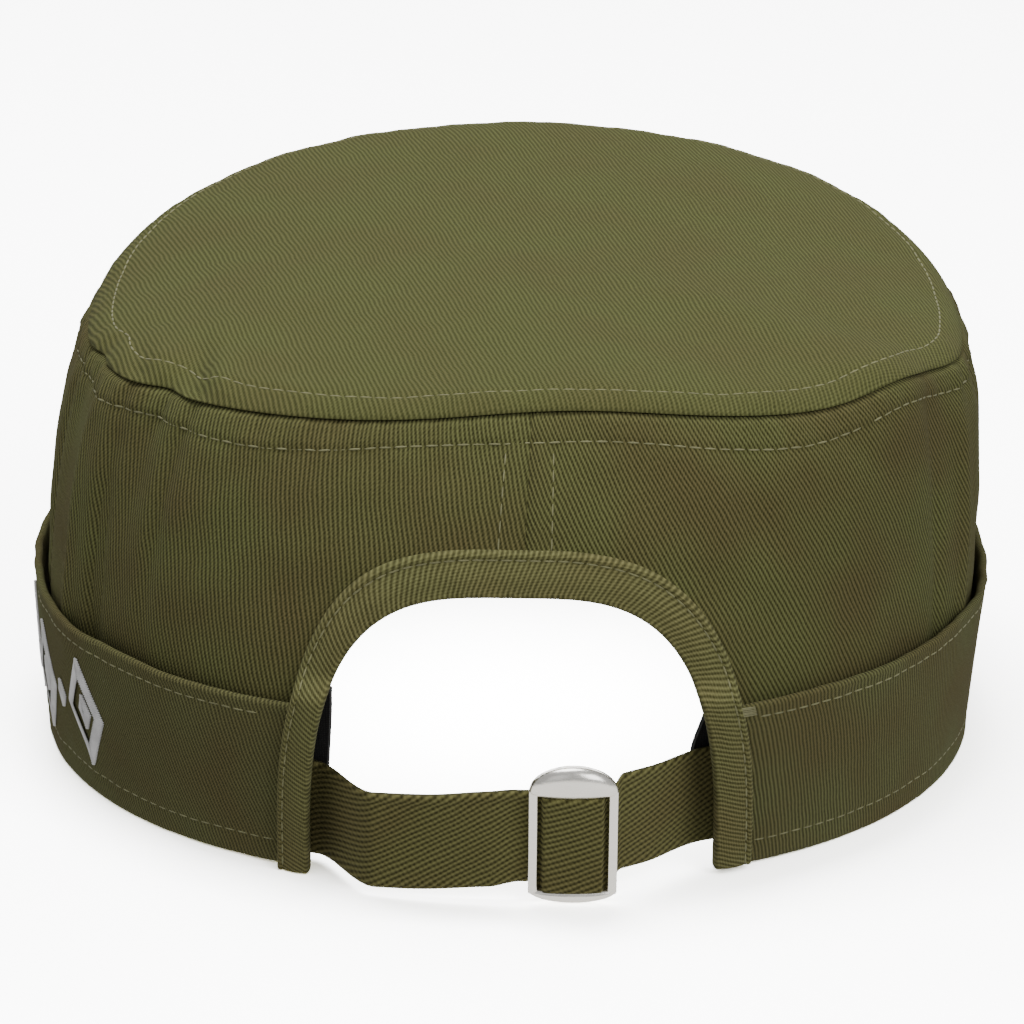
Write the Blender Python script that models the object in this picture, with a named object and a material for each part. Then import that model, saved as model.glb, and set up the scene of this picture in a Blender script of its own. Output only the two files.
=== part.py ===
"""Work cap in cotton twill: a flat oval crown, a turned-up band, an arched opening and a strap with a slider.

Metres, +Z up. The peak points to -Y and the back opening to +Y. The rim stands on Z = 0.
Angles run round the head from +X, so the centre of the back is at 90 degrees and the front at 270.
"""

import math
from collections import namedtuple

import bmesh
import bpy
import numpy as np
from mathutils import Matrix, Vector

MM = 0.001
BACK = math.radians(90)
FRONT = math.radians(270)

# Cloth and gaps
CLOTH = 1.6 * MM
BAND_CLOTH = 1.6 * MM
TAPE_CLOTH = 1.0 * MM
SWEATBAND_CLOTH = 1.0 * MM
WEBBING = 1.2 * MM
PEAK_THICKNESS = 2.4 * MM
GAP = 0.35 * MM
TAPE_GAP = 0.5 * MM

# Crown: half sizes of the outer face of the side wall, and their shares at four heights.
# The soft crown leans to the -X side above the band
HALF_WIDTH = 89.2 * MM
HALF_LENGTH_BACK = 97.7 * MM
HALF_LENGTH_FRONT = 103.0 * MM
CROWN_LEAN = 2.8 * MM
WallSection = namedtuple("WallSection", "height width back front squareness lean")
WALL_SECTIONS = (
    WallSection(0.00, 0.980, 0.930, 0.985, 2.03, 0.00),
    WallSection(0.42, 1.000, 1.000, 1.000, 2.08, 0.10),
    WallSection(0.70, 0.990, 0.925, 0.980, 2.20, 0.50),
    WallSection(1.00, 0.968, 0.800, 0.920, 2.40, 1.00),
)
SHOULDER_ROUND = 3.2 * MM
SHOULDER_POWER = 12

# Height of the seam between side and top, its soft lifts by angle in degrees, and the form of the top over it
SEAM_HEIGHT_SIDE = 79.5 * MM
SEAM_RISE_BACK = 1.2 * MM
SEAM_RISE_FRONT = 14.0 * MM
SeamLift = namedtuple("SeamLift", "angle width height")
SEAM_LIFTS = (
    SeamLift(97, 21, 3.0 * MM),
    SeamLift(144, 9, 2.6 * MM),
)
TOP_DOME = 1.0 * MM
TOP_ROLL = 2.8 * MM
TOP_ROLL_POWER = 12

# The rim lies flat at the sides. It lifts over the peak, and a little at the back
RIM_LIFT_FRONT = 12.0 * MM
RIM_LIFT_FRONT_SPREAD = math.radians(95)
RIM_LIFT_BACK = 0.8 * MM
RIM_LIFT_BACK_SPREAD = math.radians(50)

# Soft folds of the crown: where each is round the head in degrees and up the wall, how wide its bell curve
# is both ways, and its depth inwards as a share of the named one
FOLD_DEPTH = 2.4 * MM
Fold = namedtuple("Fold", "angle height angle_width height_width depth")
FOLDS = (
    Fold(38, 0.98, 3.5, 0.30, 1.00),
    Fold(31, 0.72, 5.0, 0.35, -0.40),
    Fold(20, 0.99, 3.0, 0.25, 0.60),
    Fold(153, 0.90, 4.5, 0.35, 0.60),
    Fold(163, 0.70, 5.0, 0.40, -0.35),
)

# Turned-up band. Its ends are cut back to the opening
BAND_HEIGHT = 34.0 * MM
BAND_END = math.radians(8)
BAND_STAND_OFF_HEM = 0.45 * MM
BAND_STAND_OFF_EDGE = 1.10 * MM

# Arched opening, measured to the fold of its tape. Its middle sits off the crown's, on the -X side
ARCH_HALF_WIDTH = 36.3 * MM
ARCH_HEIGHT = 54.6 * MM
ARCH_OFFSET = 0.9 * MM
ARCH_SQUARENESS = 3.2
TAPE_WIDTH = 7.0 * MM
TAPE_LEG_SHARE = 0.40
TAPE_FOOT = 0.3 * MM
TAPE_STEP_START = 1.5 * MM
TAPE_STEP_LENGTH = 5.0 * MM

# Sweatband
SWEATBAND_FOOT = 2.0 * MM
SWEATBAND_HEIGHT = 33.0 * MM
SWEATBAND_PAST_TAPE = 4.5 * MM
SWEATBAND_DEEP_STRETCH = math.radians(11)
SWEATBAND_EASE = math.radians(14)

# Strap: how far it bulges past the wall, within which share of the opening it comes out to that on each
# side, the length that lies flat at the buckle, and the centre line's height from the +X anchor to the -X one
STRAP_WIDTH = 20.0 * MM
STRAP_BULGE = 8.3 * MM
STRAP_HIDDEN_LENGTH = 7.0 * MM
STRAP_MIDDLE_HEIGHT = 13.0 * MM
STRAP_RISE_START = 1.0 * MM
STRAP_RISE_LEFT = 0.30
STRAP_RISE_RIGHT = 0.56
STRAP_FLAT_LEFT = 9.0 * MM
STRAP_FLAT_RIGHT = 6.2 * MM
STRAP_EASE_LEFT = 6.0 * MM
STRAP_EASE_RIGHT = 2.6 * MM
StrapHeight = namedtuple("StrapHeight", "along height")
STRAP_HEIGHTS = (
    StrapHeight(-1.0, 0.83),
    StrapHeight(-0.5, 0.87),
    StrapHeight(0.0, 0.99),
    StrapHeight(0.25, 1.025),
    StrapHeight(0.42, 1.16),
    StrapHeight(0.62, 1.10),
    StrapHeight(1.0, 1.10),
)

# Slide buckle, off the middle on the -X side
BUCKLE_OFFSET = 11.7 * MM
BUCKLE_WIDTH = 15.8 * MM
BUCKLE_THICKNESS = 1.4 * MM
BUCKLE_SIDE_BAR = 1.9 * MM
BUCKLE_MIDDLE_BAR = 1.4 * MM
BUCKLE_END_ROOT = 0.9 * MM
BUCKLE_TOP_RISE = 4.6 * MM
BUCKLE_FOOT_RISE = 1.6 * MM
BUCKLE_CROWN = 1.2 * MM
BUCKLE_CLEARANCE = 0.6 * MM

# Peak: it reaches forward of the wall and arches over the middle, and its sides lie on the floor
PEAK_REACH = 52.0 * MM
PEAK_HALF_ANGLE = math.radians(56)
PEAK_SQUARENESS = 2.1
PEAK_TIP_HEIGHT = 7.5 * MM
PEAK_LOW_SHARE = 0.9
PEAK_FALL_POWER = 1.3
PEAK_TUCK = 4.2 * MM

OLIVE = (0.105, 0.092, 0.030)
NEAR_BLACK = (0.010, 0.009, 0.009)
NICKEL = (0.62, 0.60, 0.56)


def smooth_step(share):
    """0 below 0, 1 above 1, and a smooth rise between."""
    share = min(1.0, max(0.0, share))
    return share * share * (3 - 2 * share)


def smooth_table(rows, at):
    """The values beside the first column at that place, on a smooth curve through all the rows."""
    table = np.array(rows)
    places, values = table[:, 0], table[:, 1:]
    slopes = np.gradient(values, places, axis=0)
    at = min(places[-1], max(places[0], at))
    i = min(len(places) - 2, int(np.searchsorted(places, at, side="right")) - 1)
    span = places[i + 1] - places[i]
    t = (at - places[i]) / span
    return (
        (2 * t**3 - 3 * t**2 + 1) * values[i]
        + (t**3 - 2 * t**2 + t) * span * slopes[i]
        + (3 * t**2 - 2 * t**3) * values[i + 1]
        + (t**3 - t**2) * span * slopes[i + 1]
    )


def angle_from(angle, centre):
    """The distance between two angles, never over half a turn."""
    return abs((angle - centre + math.pi) % math.tau - math.pi)


def oval_radius(angle, half_width, half_length, squareness):
    across = abs(math.cos(angle)) / half_width
    along = abs(math.sin(angle)) / half_length
    return (across**squareness + along**squareness) ** (-1 / squareness)


def rim_height(angle):
    """The hem's height: nothing at the sides, an arch over the peak and a small lift at the back."""
    front = 1 - smooth_step(angle_from(angle, FRONT) / RIM_LIFT_FRONT_SPREAD)
    back = 1 - smooth_step(angle_from(angle, BACK) / RIM_LIFT_BACK_SPREAD)
    return RIM_LIFT_FRONT * front + RIM_LIFT_BACK * back


def seam_height(angle):
    back_share = math.sin(angle)
    rise = SEAM_RISE_BACK if back_share > 0 else SEAM_RISE_FRONT
    height = SEAM_HEIGHT_SIDE + rise * back_share**2
    for lift in SEAM_LIFTS:
        off_angle = angle_from(angle, math.radians(lift.angle)) / math.radians(lift.width)
        height += lift.height * math.exp(-(off_angle**2))
    return height


def top_height(angle, share):
    """The top's height at that share of the way from its middle to the seam.

    It slopes straight from front to back, droops to the sides and rolls down over its edge.
    """
    middle = SEAM_HEIGHT_SIDE + (SEAM_RISE_FRONT + SEAM_RISE_BACK) / 2
    slope = (SEAM_RISE_BACK - SEAM_RISE_FRONT) / 2 * math.sin(angle)
    droop = (seam_height(angle) - middle - slope) * share**2
    rolled = TOP_ROLL * (1 - share**TOP_ROLL_POWER)
    return middle + slope * share + droop + TOP_DOME * (1 - share**2) + rolled


def fold_depth(angle, share):
    depth = 0.0
    for fold in FOLDS:
        off_angle = angle_from(angle, math.radians(fold.angle)) / math.radians(fold.angle_width)
        off_height = (share - fold.height) / fold.height_width
        depth += fold.depth * FOLD_DEPTH * math.exp(-(off_angle**2) - off_height**2)
    return depth


def wall_base(angle, height):
    """A point of the side wall's outer face at that angle and height over the floor."""
    foot = rim_height(angle)
    share = (height - foot) / (seam_height(angle) - foot)
    width, back, front, squareness, lean = smooth_table(WALL_SECTIONS, share)
    length = back * HALF_LENGTH_BACK if math.sin(angle) > 0 else front * HALF_LENGTH_FRONT
    radius = oval_radius(angle, width * HALF_WIDTH, length, squareness)
    radius -= SHOULDER_ROUND * max(0.0, min(1.0, share)) ** SHOULDER_POWER
    radius -= fold_depth(angle, share)
    return Vector((radius * math.cos(angle) - CROWN_LEAN * lean, radius * math.sin(angle), height))


def wall_point(angle, height, offset=0.0):
    """A point at that distance outside the side wall's outer face, at the same height."""
    step = 1e-4
    round_head = wall_base(angle + step, height) - wall_base(angle - step, height)
    outwards = round_head.cross(Vector((0, 0, 1))).normalized()
    return wall_base(angle, height) + outwards * offset


def back_angle(x, height, offset=0.0):
    """The angle at which the surface that far outside the back wall is x from the middle."""
    angle = BACK
    for _ in range(10):
        point = wall_point(angle, height, offset)
        angle += (point.x - x) / point.y
    return angle


def back_point(x, height, offset):
    return wall_point(back_angle(x, height, offset), height, offset)


def arch_point(share, outwards=0.0):
    """A point (x, z) of the arch, from the +X foot at 0 to the -X foot at 1, moved outwards."""
    turn = math.pi * share
    power = 2 / ARCH_SQUARENESS
    x = ARCH_HALF_WIDTH * math.copysign(abs(math.cos(turn)) ** power, math.cos(turn))
    z = ARCH_HEIGHT * max(0.0, math.sin(turn)) ** power
    slope_x = math.copysign((abs(x) / ARCH_HALF_WIDTH) ** (ARCH_SQUARENESS - 1), x) / ARCH_HALF_WIDTH
    slope_z = (z / ARCH_HEIGHT) ** (ARCH_SQUARENESS - 1) / ARCH_HEIGHT
    length = math.hypot(slope_x, slope_z)
    return x - ARCH_OFFSET + outwards * slope_x / length, z + outwards * slope_z / length


def material(name, colour, roughness, metallic=0.0):
    made = bpy.data.materials.new(name)
    made.use_nodes = True
    shader = made.node_tree.nodes["Principled BSDF"]
    shader.inputs["Base Color"].default_value = (*colour, 1)
    shader.inputs["Roughness"].default_value = roughness
    shader.inputs["Metallic"].default_value = metallic
    return made


def new_object(name, work, finish):
    """An object of its own made from a bmesh, smooth but for its sharp edges."""
    mesh = bpy.data.meshes.new(name)
    work.to_mesh(mesh)
    work.free()
    mesh.shade_smooth()
    mesh.set_sharp_from_angle(angle=math.radians(40))
    mesh.materials.append(finish)
    made = bpy.data.objects.new(name, mesh)
    bpy.context.collection.objects.link(made)
    return made


def cloth(name, finish, columns, rows, place):
    """A closed sheet of cloth: a thin slab, bent to place(along, across, through), each 0 to 1."""
    slab = bmesh.new()
    bmesh.ops.create_grid(slab, x_segments=columns, y_segments=rows, size=1)
    front = bmesh.ops.extrude_face_region(slab, geom=slab.faces[:], use_keep_orig=True)
    corners = [v for v in front["geom"] if isinstance(v, bmesh.types.BMVert)]
    bmesh.ops.translate(slab, verts=corners, vec=(0, 0, 1))
    bmesh.ops.recalc_face_normals(slab, faces=slab.faces)
    for vertex in slab.verts:
        vertex.co = place((vertex.co.x + 1) / 2, (vertex.co.y + 1) / 2, vertex.co.z)
    if slab.calc_volume(signed=True) < 0:
        bmesh.ops.reverse_faces(slab, faces=slab.faces)
    return new_object(name, slab, finish)


def prism(name, finish, outline, front, depth):
    """A flat outline (x, z) at y = front, extruded back towards -Y by depth."""
    work = bmesh.new()
    face = work.faces.new([work.verts.new((x, front, z)) for x, z in outline])
    moved = bmesh.ops.extrude_face_region(work, geom=[face])
    corners = [v for v in moved["geom"] if isinstance(v, bmesh.types.BMVert)]
    bmesh.ops.translate(work, verts=corners, vec=(0, -depth, 0))
    bmesh.ops.recalc_face_normals(work, faces=work.faces)
    return new_object(name, work, finish)


def arch_cutter():
    """The prism that clears wall and band out of the opening, as far as the fold of the tape."""
    steps = 40
    reach = TAPE_CLOTH + TAPE_GAP
    outline = [arch_point(i / steps, reach) for i in range(steps + 1)]
    below = -BAND_HEIGHT
    outline = [(outline[0][0], below), *outline, (outline[-1][0], below)]
    near, far = 0.5 * HALF_LENGTH_BACK, 1.4 * HALF_LENGTH_BACK
    cutter = prism("arch_cutter", material("cutter", OLIVE, 1), outline, far, far - near)
    cutter.hide_render = True
    cutter.display_type = "WIRE"
    return cutter


def cut_arch(piece, cutter):
    cut = piece.modifiers.new("Arch", "BOOLEAN")
    cut.operation = "DIFFERENCE"
    cut.object = cutter


def side_panel(name, start, end, twill, cutter):
    """Half of the crown's side wall, between the centre of the back and the centre of the front."""
    half_gap = GAP / 2 / HALF_LENGTH_BACK
    first, last = start + half_gap, end - half_gap

    def place(along, up, inwards):
        angle = first + (last - first) * along
        foot = rim_height(angle) + GAP
        # the rows crowd towards the rounded shoulder
        share = 1 - (1 - up) ** 1.35
        return wall_point(angle, foot + (seam_height(angle) - foot) * share, -CLOTH * inwards)

    panel = cloth(name, twill, 36, 9, place)
    cut_arch(panel, cutter)
    return panel


def top_panel(twill):
    """The oval top: a square grid drawn out to the seam's oval, domed, its edge rolled down to the seam."""

    def place(along, across, through):
        u, v = 2 * along - 1, 2 * across - 1
        x, y = u * math.sqrt(1 - v * v / 2), v * math.sqrt(1 - u * u / 2)
        share, angle = math.hypot(x, y), math.atan2(y, x)
        rim = wall_base(angle, seam_height(angle))
        height = top_height(angle, share) + GAP + CLOTH * through
        return Vector(((rim.x + CROWN_LEAN) * share - CROWN_LEAN, rim.y * share, height))

    return cloth("top_panel", twill, 22, 22, place)


def band_stand_off(angle, height):
    """How far the band's inner face stands off the wall: close at the hem, open at the folded top edge."""
    share = max(0.0, (height - rim_height(angle)) / BAND_HEIGHT)
    return BAND_STAND_OFF_HEM + (BAND_STAND_OFF_EDGE - BAND_STAND_OFF_HEM) * share**2


def band(twill, cutter):
    """The turned-up band, all round the crown but for the opening."""
    start = BACK + BAND_END
    end = BACK + math.tau - BAND_END

    def place(along, up, outwards):
        angle = start + (end - start) * along
        height = rim_height(angle) + BAND_HEIGHT * up
        return wall_point(angle, height, band_stand_off(angle, height) + BAND_CLOTH * outwards)

    strip = cloth("band", twill, 76, 3, place)
    cut_arch(strip, cutter)
    return strip


def tape_section(across):
    """Where the folded tape lies at that share of its width: its distance from the fold, and its side.

    The side is 1 on the outer leg and -1 on the inner one, and turns from one to the other round the fold.
    """
    if across < TAPE_LEG_SHARE:
        return TAPE_WIDTH * (1 - across / TAPE_LEG_SHARE), 1.0
    if across > 1 - TAPE_LEG_SHARE:
        return TAPE_WIDTH * (1 - (1 - across) / TAPE_LEG_SHARE), -1.0
    turn = math.pi * (across - TAPE_LEG_SHARE) / (1 - 2 * TAPE_LEG_SHARE)
    return 0.0, math.cos(turn)


def arch_binding(twill):
    """The tape folded over the raw edge of wall and band, round the arch and down both legs to the hem."""

    def place(along, across, through):
        away, side = tape_section(across)
        fold = TAPE_CLOTH * (1 - through * math.sqrt(max(0.0, 1 - side * side)))
        x, z = arch_point(along, away + fold)
        z = max(z, TAPE_FOOT)
        over_band = 1 - smooth_step((z - BAND_HEIGHT - TAPE_STEP_START) / TAPE_STEP_LENGTH)
        outer = TAPE_GAP + over_band * (BAND_STAND_OFF_EDGE + BAND_CLOTH)
        inner = -CLOTH - TAPE_GAP
        half_depth = (outer - inner) / 2 + TAPE_CLOTH * through
        return back_point(x, z, (outer + inner) / 2 + side * half_depth)

    return cloth("arch_binding", twill, 40, 10, place)


def sweatband(black):
    """The black tape inside the rim, open at the back. It stands off the wall where the strap passes."""
    close = -CLOTH - GAP
    deep = -CLOTH - TAPE_GAP - TAPE_CLOTH - GAP - WEBBING - GAP
    end_x = ARCH_HALF_WIDTH - SWEATBAND_PAST_TAPE

    def place(along, up, inwards):
        height = SWEATBAND_FOOT + SWEATBAND_HEIGHT * up
        first = back_angle(-end_x - ARCH_OFFSET, height, deep)
        last = back_angle(end_x - ARCH_OFFSET, height, deep) + math.tau
        angle = first + (last - first) * along
        height += rim_height(angle)
        from_end = min(angle - first, last - angle)
        offset = deep + (close - deep) * smooth_step((from_end - SWEATBAND_DEEP_STRETCH) / SWEATBAND_EASE)
        return wall_point(angle, height, offset - SWEATBAND_CLOTH * inwards)

    return cloth("sweatband", black, 66, 2, place)


def strap_base(x, across):
    """A point of the strap's outer face, without the step over the buckle's middle bar."""
    half_length = ARCH_HALF_WIDTH + STRAP_HIDDEN_LENGTH
    from_middle = x + ARCH_OFFSET
    (height,) = smooth_table(STRAP_HEIGHTS, -from_middle / half_length)
    height = height * STRAP_MIDDLE_HEIGHT + (across - 0.5) * STRAP_WIDTH
    hidden = -CLOTH - TAPE_GAP - TAPE_CLOTH - GAP
    rise_share = STRAP_RISE_LEFT if from_middle > 0 else STRAP_RISE_RIGHT
    from_edge = ARCH_HALF_WIDTH - STRAP_RISE_START - abs(from_middle)
    rise = smooth_step(from_edge / (rise_share * ARCH_HALF_WIDTH))
    return back_point(x, height, hidden + (STRAP_BULGE - hidden) * rise)


def strap_frame():
    """The strap's place at the buckle: origin, and the directions across the head, up and outwards."""
    middle = strap_base(-BUCKLE_OFFSET, 0.5)
    across_head = Vector((1, 0, 0))
    upwards = strap_base(-BUCKLE_OFFSET, 0.9) - strap_base(-BUCKLE_OFFSET, 0.1)
    upwards.x = 0
    upwards.normalize()
    return middle, across_head, upwards, upwards.cross(across_head).normalized()


def strap(twill):
    """The webbing: behind the tape at both ends, behind the buckle's side bars and over its middle bar."""
    half_length = ARCH_HALF_WIDTH + STRAP_HIDDEN_LENGTH
    middle, across_head, upwards, outwards = strap_frame()
    weave = BUCKLE_THICKNESS + WEBBING + 2 * GAP
    reach = BUCKLE_WIDTH / 2 - BUCKLE_SIDE_BAR
    level = BUCKLE_MIDDLE_BAR / 2 + 2 * GAP

    def place(along, across, inwards):
        x = half_length * (1 - 2 * along) - ARCH_OFFSET
        from_bar = abs(x + BUCKLE_OFFSET)
        over = smooth_step((reach - GAP - from_bar) / (reach - GAP - level))
        flat = middle + across_head * (x + BUCKLE_OFFSET) + upwards * ((across - 0.5) * STRAP_WIDTH)
        left = x > -BUCKLE_OFFSET
        flat_length = STRAP_FLAT_LEFT if left else STRAP_FLAT_RIGHT
        ease = STRAP_EASE_LEFT if left else STRAP_EASE_RIGHT
        held = smooth_step((flat_length + ease - from_bar) / ease)
        return strap_base(x, across).lerp(flat, held) + outwards * (weave * over - WEBBING * inwards)

    return cloth("strap", twill, 84, 2, place)


def slide_buckle(nickel):
    """The nickel slider: two side bars and a middle bar between two crowned ends."""
    half_width = BUCKLE_WIDTH / 2
    window_half_height = STRAP_WIDTH / 2 + BUCKLE_CLEARANCE
    end_height = window_half_height + BUCKLE_END_ROOT
    arc = [math.pi * i / 12 for i in range(13)]
    outline = [(half_width * math.cos(a), end_height + BUCKLE_TOP_RISE * math.sin(a)) for a in arc]
    outline += [(-half_width * math.cos(a), -end_height - BUCKLE_FOOT_RISE * math.sin(a)) for a in arc]
    plate = prism("slide_buckle", nickel, outline, BUCKLE_THICKNESS, BUCKLE_THICKNESS)
    for side, end_rise in ((-1, BUCKLE_FOOT_RISE), (1, BUCKLE_TOP_RISE)):
        near, far = side * BUCKLE_MIDDLE_BAR / 2, side * (half_width - BUCKLE_SIDE_BAR)
        corners = [(near, window_half_height), (far, window_half_height)]
        corners += [(x, -z) for x, z in reversed(corners)]
        window = prism("buckle_window", nickel, corners, 2 * BUCKLE_THICKNESS, 3 * BUCKLE_THICKNESS)
        window.hide_render = True
        window.display_type = "WIRE"
        cut = plate.modifiers.new("Window", "BOOLEAN")
        cut.object = window
        window.parent = plate
        crown = bmesh.new()
        bmesh.ops.create_uvsphere(crown, u_segments=20, v_segments=10, radius=1)
        half_height = BUCKLE_END_ROOT / 2 + end_rise / 2
        size = (0.86 * half_width, BUCKLE_CROWN + BUCKLE_THICKNESS / 2, 0.85 * half_height)
        bmesh.ops.scale(crown, vec=size, verts=crown.verts)
        height = side * (window_half_height + half_height)
        bmesh.ops.translate(crown, vec=(0, BUCKLE_THICKNESS / 2, height), verts=crown.verts)
        crown = new_object("buckle_crown", crown, nickel)
        crown.hide_render = True
        crown.display_type = "WIRE"
        crown.parent = plate
        join = plate.modifiers.new("Crown", "BOOLEAN")
        join.operation = "UNION"
        join.object = crown
    middle, across_head, upwards, outwards = strap_frame()
    turn = Matrix((across_head, outwards, upwards)).transposed()
    plate.matrix_world = Matrix.Translation(middle + outwards * GAP) @ turn.to_4x4()
    return plate


def peak_outline(share):
    """A point of the peak's outer edge, from one side corner at 0, round the front, to the other at 1."""
    corner = wall_base(FRONT + PEAK_HALF_ANGLE, rim_height(FRONT + PEAK_HALF_ANGLE))
    front = wall_base(FRONT, rim_height(FRONT))
    turn = math.pi * share
    power = 2 / PEAK_SQUARENESS
    x = -corner.x * math.copysign(abs(math.cos(turn)) ** power, math.cos(turn))
    return x, corner.y + (front.y - PEAK_REACH - corner.y) * max(0.0, math.sin(turn)) ** power


def peak(twill):
    """The stiff peak, tucked under the lifted front of the rim. Its side corners rest on the floor."""

    def place(along, forward, down):
        angle = FRONT + PEAK_HALF_ANGLE * (2 * along - 1)
        rim = wall_base(angle, rim_height(angle))
        tucked = 1 - PEAK_TUCK / math.hypot(rim.x, rim.y)
        edge_x, edge_y = peak_outline(along)
        from_middle = angle_from(angle, FRONT) / PEAK_HALF_ANGLE
        root = rim.z - GAP
        edge = PEAK_THICKNESS + PEAK_TIP_HEIGHT * (1 - smooth_step(from_middle / PEAK_LOW_SHARE))
        x = rim.x * tucked * (1 - forward) + edge_x * forward
        y = rim.y * tucked * (1 - forward) + edge_y * forward
        height = root + (edge - root) * forward**PEAK_FALL_POWER
        return Vector((x, y, height - PEAK_THICKNESS * down))

    return cloth("peak", twill, 32, 6, place)


def stand_on_origin(pieces):
    """Moves the whole cap so that its lowest, middle point is the origin, by one empty that carries it."""
    graph = bpy.context.evaluated_depsgraph_get()
    graph.update()
    corners = []
    for piece in pieces:
        shape = piece.evaluated_get(graph)
        corners += [shape.matrix_world @ vertex.co for vertex in shape.data.vertices]
    low = Vector(min(corner[i] for corner in corners) for i in range(3))
    high = Vector(max(corner[i] for corner in corners) for i in range(3))
    cap = bpy.data.objects.new("cap", None)
    bpy.context.collection.objects.link(cap)
    for made in list(bpy.data.objects):
        if made.parent is None and made is not cap:
            made.parent = cap
    cap.location = (-(low.x + high.x) / 2, -(low.y + high.y) / 2, -low.z)


def main():
    for old in list(bpy.data.objects):
        bpy.data.objects.remove(old)
    twill = material("olive_twill", OLIVE, 0.9)
    black = material("black_tape", NEAR_BLACK, 0.8)
    nickel = material("satin_nickel", NICKEL, 0.3, 1.0)
    cutter = arch_cutter()
    pieces = [
        side_panel("side_panel_right", BACK, FRONT, twill, cutter),
        side_panel("side_panel_left", FRONT - math.tau, BACK, twill, cutter),
        top_panel(twill),
        band(twill, cutter),
        arch_binding(twill),
        sweatband(black),
        strap(twill),
        slide_buckle(nickel),
        peak(twill),
    ]
    stand_on_origin(pieces)


main()
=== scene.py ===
"""Olive twill work cap with a turned-up band, an arched back opening and a webbing strap with a metal slider.

Metres, in the CAD's own frame: +Z up, the peak towards -Y and the back opening towards +Y.
"""

import math
from collections import namedtuple

import bmesh
import bpy
import numpy as np
from mathutils import Matrix, Vector


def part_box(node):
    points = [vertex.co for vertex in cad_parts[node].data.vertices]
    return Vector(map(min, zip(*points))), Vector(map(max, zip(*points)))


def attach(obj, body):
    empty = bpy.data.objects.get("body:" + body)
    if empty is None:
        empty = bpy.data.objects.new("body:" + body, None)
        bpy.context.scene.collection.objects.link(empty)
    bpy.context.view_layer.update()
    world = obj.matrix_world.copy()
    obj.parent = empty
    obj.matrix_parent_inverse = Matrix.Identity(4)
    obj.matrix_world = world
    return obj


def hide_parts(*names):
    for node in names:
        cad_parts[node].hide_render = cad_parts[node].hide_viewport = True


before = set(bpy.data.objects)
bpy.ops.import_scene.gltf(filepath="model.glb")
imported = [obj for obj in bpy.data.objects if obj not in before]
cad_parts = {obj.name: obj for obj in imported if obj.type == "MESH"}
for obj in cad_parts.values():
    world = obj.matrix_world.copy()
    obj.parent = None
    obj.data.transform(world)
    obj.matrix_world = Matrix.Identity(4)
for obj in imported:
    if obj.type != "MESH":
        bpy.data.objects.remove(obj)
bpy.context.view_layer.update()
MM = 0.001
BACK = math.radians(90)
FRONT = math.radians(270)

# Crown side: two curved halves of cotton twill, sewn at the centre of the back and of the front.
# The seam allowances are pressed flat and held by a row of stitches on each side of the seam, and the
# upper edge turns in to meet the top. The cloth is soft, so it folds a little where it turns.
CLOTH = 1.6 * MM
GAP = 0.35 * MM
HALF_WIDTH = 89.2 * MM
HALF_LENGTH_BACK = 97.7 * MM
HALF_LENGTH_FRONT = 103.0 * MM
CROWN_LEAN = 2.8 * MM
WallSection = namedtuple("WallSection", "height width back front squareness lean")
WALL_SECTIONS = (
    WallSection(0.00, 0.980, 0.930, 0.985, 2.03, 0.00),
    WallSection(0.42, 1.000, 1.000, 1.000, 2.08, 0.10),
    WallSection(0.70, 0.990, 0.925, 0.980, 2.20, 0.50),
    WallSection(1.00, 0.968, 0.800, 0.920, 2.40, 1.00),
)
SHOULDER_ROUND = 3.2 * MM
SHOULDER_POWER = 12
SEAM_HEIGHT_SIDE = 79.5 * MM
SEAM_RISE_BACK = 1.2 * MM
SEAM_RISE_FRONT = 14.0 * MM
SeamLift = namedtuple("SeamLift", "angle width height")
SEAM_LIFTS = (
    SeamLift(97, 21, 3.0 * MM),
    SeamLift(144, 9, 2.6 * MM),
)
RIM_LIFT_FRONT = 12.0 * MM
RIM_LIFT_FRONT_SPREAD = math.radians(95)
RIM_LIFT_BACK = 0.8 * MM
RIM_LIFT_BACK_SPREAD = math.radians(50)
Pleat = namedtuple("Pleat", "angle height angle_width height_width depth")
FOLD_DEPTH = 2.4 * MM
FOLDS = (
    Pleat(38, 0.98, 3.5, 0.30, 1.00),
    Pleat(31, 0.72, 5.0, 0.35, -0.40),
    Pleat(20, 0.99, 3.0, 0.25, 0.60),
    Pleat(153, 0.90, 4.5, 0.35, 0.60),
    Pleat(163, 0.70, 5.0, 0.40, -0.35),
)
CREASE_DEPTH = 1.7 * MM
CREASES = (
    Pleat(44, 0.80, 1.6, 0.30, 0.8),
    Pleat(33, 0.60, 1.8, 0.45, 1.0),
    Pleat(26, 0.55, 1.4, 0.40, -0.6),
    Pleat(14, 0.70, 1.6, 0.50, 0.9),
    Pleat(118, 0.84, 2.2, 0.12, 0.5),
    Pleat(150, 0.62, 1.8, 0.40, 0.8),
    Pleat(158, 0.55, 1.5, 0.45, -0.6),
    Pleat(170, 0.70, 1.8, 0.50, 0.7),
    Pleat(205, 0.80, 2.5, 0.30, 0.6),
    Pleat(320, 0.80, 2.5, 0.35, 0.6),
    Pleat(345, 0.70, 2.0, 0.35, 0.5),
)
GATHER_HEIGHT = 0.40 * MM
GATHER_STEP = math.radians(3.3)
BAND_HEIGHT = 34.0 * MM
BAND_STAND_OFF_EDGE = 1.10 * MM
BAND_CLOTH = 1.6 * MM
ARCH_HALF_WIDTH = 36.3 * MM
ARCH_HEIGHT = 54.6 * MM
ARCH_OFFSET = 0.9 * MM
ARCH_SQUARENESS = 3.2
CUT_UNDER_TAPE = 3.5 * MM
SIDE_STITCH_DOWN = 4.4 * MM
SIDE_STITCH_WANDER = 0.45 * MM
BACK_SEAM_TURN = 0.014
BACK_STITCH_ASIDE = 5.2 * MM
ALLOWANCE_RAISE = 0.35 * MM
ALLOWANCE_EDGE = 1.2 * MM
STITCH_DENT = 0.30 * MM
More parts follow.
